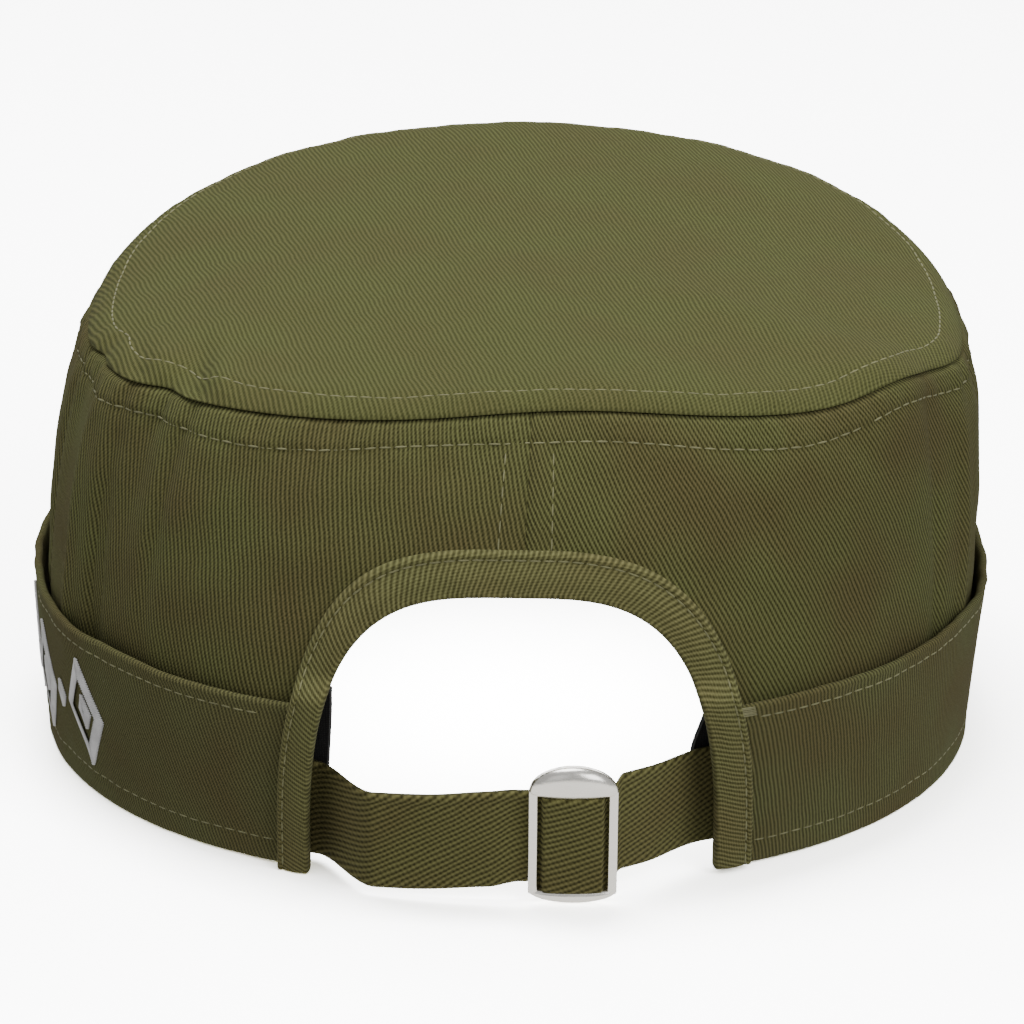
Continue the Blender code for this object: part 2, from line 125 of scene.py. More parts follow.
SEAM_GROOVE = 1.0 * MM
TOP_SEAM_GROOVE = 0.8 * MM
SOFT_RIPPLE = 0.45 * MM
SHARP_ANGLE = math.radians(50)
TWILL_PITCH = 0.78
IN_MILLIMETRES = (1000, 1000, 1000)
# the scale at which one band of Blender's wave pattern is one unit wide
ONE_BAND = math.tau / 20
# the ridge and brown colours are the thread's dye; the groove colour is painted shade for the low parts of
# the weave
DyeAndGrooveShade = namedtuple("DyeAndGrooveShade", "ridge valley brown")
OLIVE = DyeAndGrooveShade((0.182, 0.190, 0.070), (0.039, 0.039, 0.013), (0.172, 0.146, 0.060))


def smooth_step(share):
    share = np.clip(share, 0.0, 1.0)
    return share * share * (3 - 2 * share)


def smooth_table(rows, at):
    """The values beside the first column at those places, on a smooth curve through all the rows."""
    table = np.array(rows)
    places, values = table[:, 0], table[:, 1:]
    slopes = np.gradient(values, places, axis=0)
    at = np.clip(at, places[0], places[-1])
    i = np.clip(np.searchsorted(places, at, side="right") - 1, 0, len(places) - 2)
    span = (places[i + 1] - places[i])[..., None]
    t = (at - places[i])[..., None] / span
    start = (2 * t**3 - 3 * t**2 + 1) * values[i] + (t**3 - 2 * t**2 + t) * span * slopes[i]
    end = (3 * t**2 - 2 * t**3) * values[i + 1] + (t**3 - t**2) * span * slopes[i + 1]
    return np.moveaxis(start + end, -1, 0)


def angle_from(angle, centre):
    return np.abs((angle - centre + math.pi) % math.tau - math.pi)


def rim_height(angle):
    front = 1 - smooth_step(angle_from(angle, FRONT) / RIM_LIFT_FRONT_SPREAD)
    back = 1 - smooth_step(angle_from(angle, BACK) / RIM_LIFT_BACK_SPREAD)
    return RIM_LIFT_FRONT * front + RIM_LIFT_BACK * back


def seam_height(angle):
    back_share = np.sin(angle)
    rise = np.where(back_share > 0, SEAM_RISE_BACK, SEAM_RISE_FRONT)
    height = SEAM_HEIGHT_SIDE + rise * back_share**2
    for lift in SEAM_LIFTS:
        off_angle = angle_from(angle, math.radians(lift.angle)) / math.radians(lift.width)
        height = height + lift.height * np.exp(-(off_angle**2))
    return height


def pleat_depth(pleats, deepest, angle, share):
    """How far those folds press the wall in, at that share of its height."""
    depth = 0.0
    for pleat in pleats:
        off_angle = angle_from(angle, math.radians(pleat.angle)) / math.radians(pleat.angle_width)
        off_height = (share - pleat.height) / pleat.height_width
        depth = depth + pleat.depth * deepest * np.exp(-(off_angle**2) - off_height**2)
    return depth


def wall_base(angle, height):
    """Points of the side wall's outer face, round the middle of the head."""
    foot = rim_height(angle)
    share = (height - foot) / (seam_height(angle) - foot)
    width, back, front, squareness, lean = smooth_table(WALL_SECTIONS, share)
    length = np.where(np.sin(angle) > 0, back * HALF_LENGTH_BACK, front * HALF_LENGTH_FRONT)
    across = np.abs(np.cos(angle)) / (width * HALF_WIDTH)
    along = np.abs(np.sin(angle)) / length
    radius = (across**squareness + along**squareness) ** (-1 / squareness)
    radius = radius - SHOULDER_ROUND * np.clip(share, 0, 1) ** SHOULDER_POWER
    radius = radius - pleat_depth(FOLDS, FOLD_DEPTH, angle, share)
    x = radius * np.cos(angle) - CROWN_LEAN * lean
    return np.stack([x, radius * np.sin(angle), height + 0 * x], axis=-1)


def wall_point(angle, height, offset):
    """Points that far outside the side wall's outer face, at the same height."""
    round_head = wall_base(angle + 1e-4, height) - wall_base(angle - 1e-4, height)
    outwards = np.stack([round_head[..., 1], -round_head[..., 0], 0 * round_head[..., 0]], axis=-1)
    outwards = outwards / np.linalg.norm(outwards, axis=-1, keepdims=True)
    return wall_base(angle, height) + outwards * np.asarray(offset)[..., None]


def back_angle(x, height, offset):
    """The angles at which the surface that far outside the back wall is x from the middle."""
    angle = BACK + 0 * x
    for _ in range(10):
        point = wall_point(angle, height, offset)
        angle = angle + (point[..., 0] - x) / point[..., 1]
    return angle


def back_point(x, height, offset):
    return wall_point(back_angle(x, height, offset), height, offset)


def bell(distance, width):
    return np.exp(-((distance / width) ** 2))


def ripple(points, size, seed):
    """A smooth uneven value from about -1 to 1 that changes over about that distance."""
    chance = np.random.default_rng(seed)
    total = 0.0
    for _ in range(8):
        way = chance.normal(size=3)
        way *= math.tau / (np.linalg.norm(way) * size * chance.uniform(0.7, 1.5))
        total = total + np.sin(points @ way + chance.uniform(0, math.tau))
    return total / 3


def side_stitch_height(angle):
    """The height of the row of stitches below the top seam. It wanders a little, as a sewn row does."""
    wander = SIDE_STITCH_WANDER * (np.sin(5 * angle + 0.6) + 0.6 * np.sin(11 * angle))
    return seam_height(angle) - SIDE_STITCH_DOWN + wander


def wall_relief(angle, height):
    """How far the sewn cloth stands out from the plain wall, with its allowances, dents and ripples."""
    plain = wall_base(angle, height)
    below_seam = seam_height(angle) - height
    below_stitch = side_stitch_height(angle) - height
    beside_back = np.abs(angle - BACK - BACK_SEAM_TURN) * HALF_LENGTH_BACK
    beside_seams = (beside_back, angle_from(angle, FRONT) * HALF_LENGTH_FRONT)
    raised = 1 - smooth_step(below_stitch / ALLOWANCE_EDGE + 0.5)
    for aside in beside_seams:
        raised = np.maximum(raised, 1 - smooth_step((aside - BACK_STITCH_ASIDE) / ALLOWANCE_EDGE + 0.5))
    relief = ALLOWANCE_RAISE * raised
    relief -= STITCH_DENT * bell(below_stitch, 0.55 * MM)
    for aside in beside_seams:
        relief -= STITCH_DENT * bell(aside - BACK_STITCH_ASIDE, 0.5 * MM)
        relief -= SEAM_GROOVE * bell(aside, 0.5 * MM)
    relief -= TOP_SEAM_GROOVE * bell(below_seam, 0.45 * MM)
    share = (height - rim_height(angle)) / (seam_height(angle) - rim_height(angle))
    relief -= pleat_depth(CREASES, CREASE_DEPTH, angle, share)
    uneven = 0.5 + 0.5 * ripple(plain, 30 * MM, 13)
    phase = math.tau * angle / GATHER_STEP + 2.2 * ripple(plain * (1, 1, 0), 26 * MM, 14)
    relief += GATHER_HEIGHT * np.sin(phase) * uneven * bell(below_seam - 2.2 * MM, 3.2 * MM)
    relief += 0.20 * MM * ripple(plain, 9 * MM, 3) * bell(below_stitch, 6 * MM)
    relief += SOFT_RIPPLE * ripple(plain * (1, 1, 0.5), 40 * MM, 5) * smooth_step(below_seam / (14 * MM))
    relief += 0.12 * MM * ripple(plain, 15 * MM, 8)
    return relief


# the wall is drawn round the middle of the head, which the band's front edge sets in the frame
top_edge = rim_height(np.array(FRONT)) + BAND_HEIGHT
front_edge = wall_point(np.array(FRONT), top_edge, BAND_STAND_OFF_EDGE + BAND_CLOTH)
HEAD_MIDDLE = np.array((0.0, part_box("band")[0][1] - float(front_edge[1]), 0.0))


def arch_point(share, outwards):
    """Points (x, z) of the opening's arch, from the +X foot at 0 to the -X foot at 1, moved outwards."""
    turn = math.pi * share
    power = 2 / ARCH_SQUARENESS
    x = ARCH_HALF_WIDTH * np.sign(np.cos(turn)) * np.abs(np.cos(turn)) ** power
    z = ARCH_HEIGHT * np.clip(np.sin(turn), 0, None) ** power
    slope_x = np.sign(x) * (np.abs(x) / ARCH_HALF_WIDTH) ** (ARCH_SQUARENESS - 1) / ARCH_HALF_WIDTH
    slope_z = (z / ARCH_HEIGHT) ** (ARCH_SQUARENESS - 1) / ARCH_HEIGHT
    length = np.hypot(slope_x, slope_z)
    return x - ARCH_OFFSET + outwards * slope_x / length, z + outwards * slope_z / length


def in_arch(points, outwards):
    """Which points are inside the opening, drawn that much larger."""
    x = np.abs(points[:, 0] + ARCH_OFFSET) / (ARCH_HALF_WIDTH + outwards)
    z = np.abs(points[:, 2]) / (ARCH_HEIGHT + outwards)
    return (x**ARCH_SQUARENESS + z**ARCH_SQUARENESS < 1) & (points[:, 1] > 0)


def new_object(name, work, finish):
    """Turns a worked shape into a smooth object in that finish."""
    mesh = bpy.data.meshes.new(name)
    work.to_mesh(mesh)
    work.free()
    mesh.shade_smooth()
    mesh.set_sharp_from_angle(angle=SHARP_ANGLE)
    mesh.materials.append(finish)
    made = bpy.data.objects.new(name, mesh)
    bpy.context.collection.objects.link(made)
    return made


def cloth_object(name, work, points, weave, finish, removed=None):
    """Gives a flat grid its shape, its place on the head and its weave coordinates in metres."""
    for vertex, point in zip(work.verts, points + HEAD_MIDDLE):
        vertex.co = point
    inside_out = work.calc_volume(signed=True) < 0
    layer = work.verts.layers.float_vector.new("weave_place")
    for vertex, (u, v) in zip(work.verts, weave):
        vertex[layer] = (u, v, 0)
    if inside_out:
        bmesh.ops.reverse_faces(work, faces=work.faces)
    if removed is not None:
        doomed = [vertex for vertex, gone in zip(work.verts, removed) if gone]
        bmesh.ops.delete(work, geom=doomed, context="VERTS")
    made = new_object(name, work, finish)
    mesh = made.data
    place = np.empty(len(mesh.vertices) * 3)
    mesh.attributes["weave_place"].data.foreach_get("vector", place)
    corners = np.empty(len(mesh.loops), np.int64)
    mesh.loops.foreach_get("vertex_index", corners)
    weave_map = mesh.uv_layers.new(name="weave")
    weave_map.data.foreach_set("uv", place.reshape(-1, 3)[corners, :2].ravel())
    mesh.attributes.remove(mesh.attributes["weave_place"])
    return made


def cloth_slab(columns, rows):
    """A thin slab in a grid, and where each corner is along it, across it and through it, each 0 to 1."""
    work = bmesh.new()
    bmesh.ops.create_grid(work, x_segments=columns, y_segments=rows, size=1)
    upper = bmesh.ops.extrude_face_region(work, geom=work.faces[:], use_keep_orig=True)
    lifted = [part for part in upper["geom"] if isinstance(part, bmesh.types.BMVert)]
    bmesh.ops.translate(work, verts=lifted, vec=(0, 0, 1))
    bmesh.ops.recalc_face_normals(work, faces=work.faces)
    corners = np.array([vertex.co for vertex in work.verts])
    return work, (corners[:, 0] + 1) / 2, (corners[:, 1] + 1) / 2, corners[:, 2]


def new_finish(name, values):
    """A material with those values on its shader's own sockets, and the tree that holds its pattern."""
    finish = bpy.data.materials.new(name)
    finish.use_nodes = True
    for socket, value in values.items():
        finish.node_tree.nodes["Principled BSDF"].inputs[socket].default_value = value
    return finish, finish.node_tree


def pattern_step(tree, kind, gives, takes=(), **settings):
    """What one step of a pattern gives. It takes numbers or what other steps give."""
    step = tree.nodes.new("ShaderNode" + kind)
    for setting, value in settings.items():
        setattr(step, setting, value)
    for socket, value in dict(takes).items():
        if isinstance(value, bpy.types.NodeSocket):
            tree.links.new(value, step.inputs[socket])
        else:
            step.inputs[socket].default_value = value
    return step.outputs[gives]


def blend(tree, factor, first, second):
    """A colour between two, each a plain colour or what a step gives."""
    colours = [side if isinstance(side, bpy.types.NodeSocket) else (*side, 1) for side in (first, second)]
    takes = {"Factor": factor, "A": colours[0], "B": colours[1]}
    return pattern_step(tree, "Mix", "Result", takes, data_type="RGBA")


def join_shader(tree, socket, given):
    tree.links.new(given, tree.nodes["Principled BSDF"].inputs[socket])


def press_relief(tree, height, distance, strength):
    """Lets the pattern's height catch the light."""
    takes = {"Height": height, "Distance": distance, "Strength": strength}
    join_shader(tree, "Normal", pattern_step(tree, "Bump", "Normal", takes))


def twill(name, dye_and_groove_shade, lean, pitch=TWILL_PITCH):
    """Matt cotton twill. The ribs rise at that angle, in degrees, with two crossing threads in each. Where
    the weave lies low it takes the darker groove colour, as painted shade in its grooves.
    """
    matt = {"Roughness": 0.92, "Specular IOR Level": 0.08, "Sheen Weight": 0.02, "Sheen Roughness": 0.6}
    finish, tree = new_finish(name, matt)
    place = pattern_step(tree, "UVMap", "UV", uv_map="weave")
    turn = (0, 0, -math.radians(90 + lean))
    takes = {"Vector": place, "Scale": IN_MILLIMETRES, "Rotation": turn}
    turned = pattern_step(tree, "Mapping", "Vector", takes)
    # the threads wander by about a millimetre
    wobble = pattern_step(tree, "TexNoise", "Color", {"Vector": turned, "Scale": 0.10})
    takes = {0: wobble, 1: (1.1, 1.1, 0), 2: turned}
    shifted = pattern_step(tree, "VectorMath", "Vector", takes, operation="MULTIPLY_ADD")
    ribs = pattern_step(tree, "TexWave", "Fac", {"Vector": shifted, "Scale": ONE_BAND / pitch})
    takes = {"Vector": shifted, "Rotation": (0, 0, math.radians(62))}
    crossing = pattern_step(tree, "Mapping", "Vector", takes)
    takes = {"Vector": crossing, "Scale": ONE_BAND / (0.62 * pitch)}
    threads = pattern_step(tree, "TexWave", "Fac", takes)
    fuzz = pattern_step(tree, "TexNoise", "Fac", {"Vector": turned, "Scale": 2.2, "Detail": 3.0})
    woven = pattern_step(tree, "Math", "Value", {0: threads, 1: 0.32, 2: ribs}, operation="MULTIPLY_ADD")
    worn = pattern_step(tree, "Math", "Value", {0: fuzz, 1: 0.95, 2: woven}, operation="MULTIPLY_ADD")
    height = pattern_step(tree, "MapRange", "Result", {"Value": worn, "From Min": 0.45, "From Max": 1.75})
    # broad patches of browner thread
    cloudy = pattern_step(tree, "TexNoise", "Fac", {"Vector": turned, "Scale": 0.045})
    takes = {"Value": cloudy, "From Min": 0.38, "From Max": 0.66, "To Max": 0.95}
    clouds = pattern_step(tree, "MapRange", "Result", takes)
    raised_thread = blend(tree, clouds, dye_and_groove_shade.ridge, dye_and_groove_shade.brown)
    # painted shade: the colour falls to the groove colour where the weave lies low
    join_shader(tree, "Base Color", blend(tree, height, dye_and_groove_shade.valley, raised_thread))
    press_relief(tree, height, 0.22 * MM, 1.0)
    return finish


def side_panel(name, start, end, lean, pitch):
    work, along, up, inwards = cloth_slab(230, 76)
    angle = start + (end - start) * along
    foot = rim_height(angle) + GAP
    share = 1 - (1 - up) ** 1.35
    height = foot + (seam_height(angle) - foot) * share
    points = wall_point(angle, height, wall_relief(angle, height) * (1 - inwards) - CLOTH * inwards)
    weave = np.stack([angle * 0.5 * (HALF_WIDTH + HALF_LENGTH_BACK), height], axis=-1)
    finish = twill("olive_" + name, OLIVE, lean, pitch)
    made = cloth_object(name, work, points, weave, finish, in_arch(points, CUT_UNDER_TAPE))
    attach(made, "root")
    return made


# the halves overlap by a hair at the seam, so no light comes through
overlap = 0.03 * MM / HALF_LENGTH_BACK
back_seam = BACK + BACK_SEAM_TURN
left_side = side_panel("left_side", FRONT - math.tau - overlap, back_seam + overlap, -72, 0.92)
right_side = side_panel("right_side", back_seam - overlap, FRONT + overlap, -61, 0.82)
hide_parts("side_panel_left")
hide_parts("side_panel_right")

# Crown top: one oval of the same twill, slightly domed. Its edge rolls down to the seam, and a row of
# stitches close inside the seam holds the allowance under it.
TOP_DOME = 1.0 * MM
TOP_ROLL = 2.8 * MM
TOP_ROLL_POWER = 8
TOP_STITCH_INSIDE = 4.5 * MM
THIN_RIM = 0.14
TopCrease = namedtuple("TopCrease", "x y lean length width depth")
TOP_CREASES = (
    TopCrease(57 * MM, 62 * MM, 0.00, 22 * MM, 2.6 * MM, 1.5 * MM),
    TopCrease(68 * MM, 44 * MM, 0.10, 12 * MM, 2.2 * MM, 0.8 * MM),
)


def top_base(angle, share):
    """Points of the top's lower face, at that share of the way from its middle to the seam."""
    rim = wall_base(angle, seam_height(angle))
    middle = SEAM_HEIGHT_SIDE + (SEAM_RISE_FRONT + SEAM_RISE_BACK) / 2
    slope = (SEAM_RISE_BACK - SEAM_RISE_FRONT) / 2 * np.sin(angle)
    droop = (seam_height(angle) - middle - slope) * share**2
    rolled = TOP_ROLL * (1 - share**TOP_ROLL_POWER)
    height = middle + slope * share + droop + TOP_DOME * (1 - share**2) + rolled + GAP
    return np.stack([(rim[..., 0] + CROWN_LEAN) * share - CROWN_LEAN, rim[..., 1] * share, height], axis=-1)


def seam_radius(angle):
    rim = wall_base(angle, seam_height(angle))
    return np.hypot(rim[..., 0], rim[..., 1])


def top_surface(angle, share, lift=0.0):
    lower = top_base(angle, share)
    inset = (1 - share) * seam_radius(angle)
    past_stitch = inset - TOP_STITCH_INSIDE
    relief = 0.30 * MM * (1 - smooth_step(past_stitch / (1.4 * MM) + 0.5))
    relief -= 0.35 * MM * bell(past_stitch, 0.6 * MM)
    around = np.arctan2(lower[..., 1], lower[..., 0])
    gathers = np.sin(math.tau * around / GATHER_STEP + 2.0 * ripple(lower, 30 * MM, 24))
    relief += 0.06 * MM * gathers * bell(inset - 2.2 * MM, 2.0 * MM)
    for crease in TOP_CREASES:
        aside = lower[..., 0] - crease.x - crease.lean * (crease.y - lower[..., 1])
        near = bell(lower[..., 1] - crease.y, crease.length)
        pressed_in = bell(aside, crease.width) - 0.5 * bell(aside + 1.7 * crease.width, crease.width)
        relief -= crease.depth * near * pressed_in
    relief += 0.16 * MM * ripple(lower, 10 * MM, 21) * bell(past_stitch, 6 * MM)
    relief += 0.35 * MM * ripple(lower, 45 * MM, 22) * smooth_step(inset / (16 * MM))
    # the stitches press the allowance down, so the face slopes to a thin rim at the seam
    pressed = THIN_RIM + (1 - THIN_RIM) * np.clip(inset / TOP_STITCH_INSIDE, 0, 1) ** 0.85
    lower[..., 2] += CLOTH * pressed + relief * np.clip(inset / (1.5 * MM), 0, 1) + lift
    return lower


def disc_point(u, v):
    """The point of a round disc for a point of a square grid, each from -1 to 1."""
    return u * np.sqrt(1 - v * v / 2), v * np.sqrt(1 - u * u / 2)


work, along, across, through = cloth_slab(170, 170)
x, y = disc_point(2 * along - 1, 2 * across - 1)
share, angle = np.hypot(x, y), np.arctan2(y, x)
# the rings crowd towards the rolled edge
share = share + 0.10 * share * (1 - share) * share
points = np.where(through[:, None] > 0.5, top_surface(angle, share), top_base(angle, share))
weave = -points[:, :2]
TOP_OLIVE = DyeAndGrooveShade((0.158, 0.169, 0.060), (0.063, 0.067, 0.022), (0.158, 0.152, 0.058))
top_twill = twill("olive_top", TOP_OLIVE, -76, 0.87)
top = cloth_object("crown_top", work, points, weave, top_twill)
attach(top, "root")
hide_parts("top_panel")

# Crown stitches: plain lockstitch in a lighter olive thread, about nine stitches to 25 mm.
# One row runs round the top inside its seam, one round the side below it, and two beside each upright seam.
STITCH_LENGTH = 2.3 * MM
STITCH_STEP = 2.8 * MM
THREAD = 0.19 * MM
STITCH_PROUD = 0.05 * MM


def thread_finish(name, colour, sheen):
    """Twisted thread, a little darker here and there."""
    finish, tree = new_finish(name, {"Roughness": 0.75, "Sheen Weight": sheen, "Specular IOR Level": 0.3})
    place = pattern_step(tree, "TexCoord", "Object")
    uneven = pattern_step(tree, "TexNoise", "Fac", {"Vector": place, "Scale": 260})
    spread = pattern_step(tree, "MapRange", "Result", {"Value": uneven, "From Min": 0.3, "From Max": 0.7})
    darker = [0.72 * part for part in colour]
    join_shader(tree, "Base Color", blend(tree, spread, darker, colour))
    twist = pattern_step(tree, "TexNoise", "Fac", {"Vector": place, "Scale": 5000})
    press_relief(tree, twist, 0.05 * MM, 0.5)
    return finish


def lay_stitch(laid, start, end, outwards, thread=THREAD, flat=0.8):
    """One stitch, kept as its middle and its three half axes: a slim grain of thread from start to end."""
    way = end - start
    length = np.linalg.norm(way)
    way = way / length
    side = np.cross(way, outwards)
    side = side / np.linalg.norm(side)
    up = np.cross(side, way)
    laid.append(((start + end) / 2, side * thread, up * thread * flat, way * length / 2))


def stitch_row(laid, points, outwards, step=STITCH_STEP, length=STITCH_LENGTH, thread=THREAD):
    """Stitches at an even step along a line of points, with one way outwards or one for each point."""
    outwards = np.broadcast_to(outwards, points.shape)
    spans = np.linalg.norm(np.diff(points, axis=0), axis=1)
    run = np.concatenate([[0], np.cumsum(spans)])
    count = max(1, int(run[-1] / step))
    starts = (np.arange(count) + 0.5 * (1 - length / step)) * run[-1] / count
    for first in starts:
        at = (first, first + length)
        ends = np.stack([np.interp(at, run, points[:, i]) for i in range(3)], axis=-1)
        facing = [np.interp(first, run, outwards[:, i]) for i in range(3)]
        lay_stitch(laid, ends[0], ends[1], np.array(facing), thread)


def stitches_object(name, laid, finish):
    """All the stitches of one thread as one mesh: a rounded grain, set at each stitch."""
    grain = bmesh.new()
    bmesh.ops.create_uvsphere(grain, u_segments=7, v_segments=6, radius=1)
    corners = np.array([vertex.co for vertex in grain.verts])
    # a stitch's three half axes are left-handed, so each face is turned round to point outwards
    faces = [[vertex.index for vertex in face.verts][::-1] for face in grain.faces]
    grain.free()
    middles = np.array([stitch[0] for stitch in laid])
    axes = np.array([stitch[1:] for stitch in laid])
    points = np.einsum("ck,skj->scj", corners, axes) + middles[:, None, :] + HEAD_MIDDLE
    every = [[corner + i * len(corners) for corner in face] for i in range(len(laid)) for face in faces]
    mesh = bpy.data.meshes.new(name)
    mesh.from_pydata(points.reshape(-1, 3).tolist(), [], every)
    mesh.shade_smooth()
    mesh.materials.append(finish)
    made = bpy.data.objects.new(name, mesh)
    bpy.context.collection.objects.link(made)
    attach(made, "root")
    return made


def wall_outwards(angle, height):
    return wall_point(angle, height, 1.0) - wall_point(angle, height, 0.0)


olive_thread = thread_finish("olive_thread", (0.29, 0.285, 0.14), 0.2)
crown_stitches = []
round_head = np.linspace(0, math.tau, 700)
height = side_stitch_height(round_head)
row = wall_point(round_head, height, wall_relief(round_head, height) + STITCH_PROUD)
stitch_row(crown_stitches, row, wall_outwards(round_head, height))
row = top_surface(round_head, 1 - TOP_STITCH_INSIDE / seam_radius(round_head), STITCH_PROUD)
stitch_row(crown_stitches, row, (0.0, 0.0, 1.0))
for middle, radius, low in (
    (BACK + BACK_SEAM_TURN, HALF_LENGTH_BACK, ARCH_HEIGHT + 7.5 * MM),
    (FRONT, HALF_LENGTH_FRONT, RIM_LIFT_FRONT + BAND_HEIGHT - 4 * MM),
):
    for side in (-1, 1):
        angle = middle + side * BACK_STITCH_ASIDE / radius + np.zeros(60)
        height = np.linspace(low, float(seam_height(np.array(middle))) - SIDE_STITCH_DOWN - 1 * MM, 60)
        row = wall_point(angle, height, wall_relief(angle, height) + 0.03 * MM)
        stitch_row(crown_stitches, row, wall_outwards(angle, height), thread=0.8 * THREAD)
stitches_object("crown_stitches", crown_stitches, olive_thread)

# Turned-up band: a doubled strip of twill sewn in at the hem and folded up round the crown. The folded top
# edge stands a little off the crown, so a dark gap shows. One row of stitches holds the fold, one the hem.
BAND_END = math.radians(8)
BAND_STAND_OFF_HEM = 0.45 * MM
BAND_TOP_STITCH = 2.8 * MM
BAND_HEM_STITCH = 5.0 * MM
BAND_EDGE_ROUND = 0.8 * MM


def band_lift(angle, rise):
    """The band's outer face off the crown's wall, at that height over the hem."""
    share = rise / BAND_HEIGHT
    offset = BAND_STAND_OFF_HEM + (BAND_STAND_OFF_EDGE - BAND_STAND_OFF_HEM) * share**2 + BAND_CLOTH
    plain = wall_base(angle, rim_height(angle) + rise)
    from_top = BAND_HEIGHT - rise
    # the folded edge is fuller, and both rows of stitches pull the cloth in and pucker it
    offset += 0.25 * MM * bell(from_top - 1.2 * MM, 1.1 * MM)
    offset -= 0.30 * MM * bell(from_top - BAND_TOP_STITCH, 0.5 * MM)
    offset -= 0.25 * MM * bell(rise - BAND_HEM_STITCH, 0.5 * MM)
    offset += 0.14 * MM * ripple(plain, 8 * MM, 31) * bell(from_top - BAND_TOP_STITCH, 4 * MM)
    offset += 0.14 * MM * ripple(plain, 9 * MM, 32) * bell(rise - BAND_HEM_STITCH, 4 * MM)
    return offset + 0.22 * MM * ripple(plain * (1, 1, 0.6), 34 * MM, 33) * smooth_step(rise / (8 * MM))


def cloth_sleeve(columns, rows):
    """One flat grid, to be rolled round a strip's section, and where each corner is along and around it."""
    work = bmesh.new()
    bmesh.ops.create_grid(work, x_segments=columns, y_segments=rows, size=1)
    corners = np.array([vertex.co for vertex in work.verts])
    return work, (corners[:, 0] + 1) / 2, (corners[:, 1] + 1) / 2


def round_off(share):
    """The height of a rounded edge at that share of the way in from its rim."""
    return np.sqrt(np.clip(1 - (1 - np.clip(share, 0, 1)) ** 2, 0, 1))


def strip_section(around, edge_share):
    """A flat strip's section, round from its lower edge: its height share, side (1 outside) and bulge."""
    face = 0.5 - edge_share
    turn = np.where(around < 0.5, around - face, around - face - 0.5) / edge_share
    turn = np.clip(turn, 0, 1) * math.pi
    outside = np.clip(around / face, 0, 1)
    inside = 1 - np.clip((around - 0.5) / face, 0, 1)
    share = np.where(around < 0.5, outside, inside)
    side = np.where(around < 0.5, np.cos(turn), -np.cos(turn))
    bulge = np.where(around < 0.5, np.sin(turn), -np.sin(turn))
    return share, side, bulge


work, along, around = cloth_sleeve(520, 60)
angle = BACK + BAND_END + (math.tau - 2 * BAND_END) * along
share, side, bulge = strip_section(around, 0.08)
rise = BAND_EDGE_ROUND + (BAND_HEIGHT - 2 * BAND_EDGE_ROUND) * share
outer = band_lift(angle, rise)
height = rim_height(angle) + rise + BAND_EDGE_ROUND * bulge
height += 0.15 * MM * ripple(wall_base(angle, height), 30 * MM, 35) * smooth_step(share * 3 - 2)
points = wall_point(angle, height, outer - BAND_CLOTH * (0.5 - side / 2))
weave = np.stack([angle * HALF_WIDTH, height], axis=-1)
BAND_OLIVE = DyeAndGrooveShade((0.180, 0.184, 0.075), (0.048, 0.047, 0.019), OLIVE.brown)
band_twill = twill("olive_band", BAND_OLIVE, -74, 0.74)
band = cloth_object("turned_up_band", work, points, weave, band_twill, in_arch(points, CUT_UNDER_TAPE))
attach(band, "root")
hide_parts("band")

band_stitches = []
turn = math.asin((ARCH_HALF_WIDTH + 7.5 * MM) / HALF_LENGTH_BACK)
round_band = np.linspace(BACK + turn, BACK + math.tau - turn, 600)
for rise, proud in ((BAND_HEIGHT - BAND_TOP_STITCH, 0.20 * MM), (BAND_HEM_STITCH, 0.08 * MM)):
    height = rim_height(round_band) + rise
    row = wall_point(round_band, height, band_lift(round_band, rise) + proud)
    stitch_row(band_stitches, row, wall_outwards(round_band, height))
stitches_object("band_stitches", band_stitches, olive_thread)

# Tape round the opening: a bias strip of twill folded over the raw edges of crown and band, and sewn down
# close to its outer edge. It runs from hem to hem and steps over the band. Its ribs fan out round the arch.
TAPE_WIDTH = 7.0 * MM
TAPE_CLOTH = 1.0 * MM
TAPE_GAP = 0.5 * MM
TAPE_LEG_SHARE = 0.38
TAPE_FOOT = 0.3 * MM
TAPE_FOOT_RIGHT = 1.4 * MM
TAPE_STEP_START = 1.5 * MM
TAPE_STEP_LENGTH = 5.0 * MM
TAPE_STITCH_IN = 1.4 * MM
TAPE_NARROWING_LEFT = 0.28
TAPE_NARROWING_RIGHT = 0.12
TACK_THREADS = 6
TACK_STEP = 0.30 * MM
TACK_LENGTH = 3.8 * MM

dense = np.linspace(0, 1, 2000)
fold_x, fold_z = arch_point(dense, 0.0)
fold_run = np.concatenate([[0], np.cumsum(np.hypot(np.diff(fold_x), np.diff(fold_z)))])


def over_band(height):
    return 1 - smooth_step((height - BAND_HEIGHT - TAPE_STEP_START) / TAPE_STEP_LENGTH)


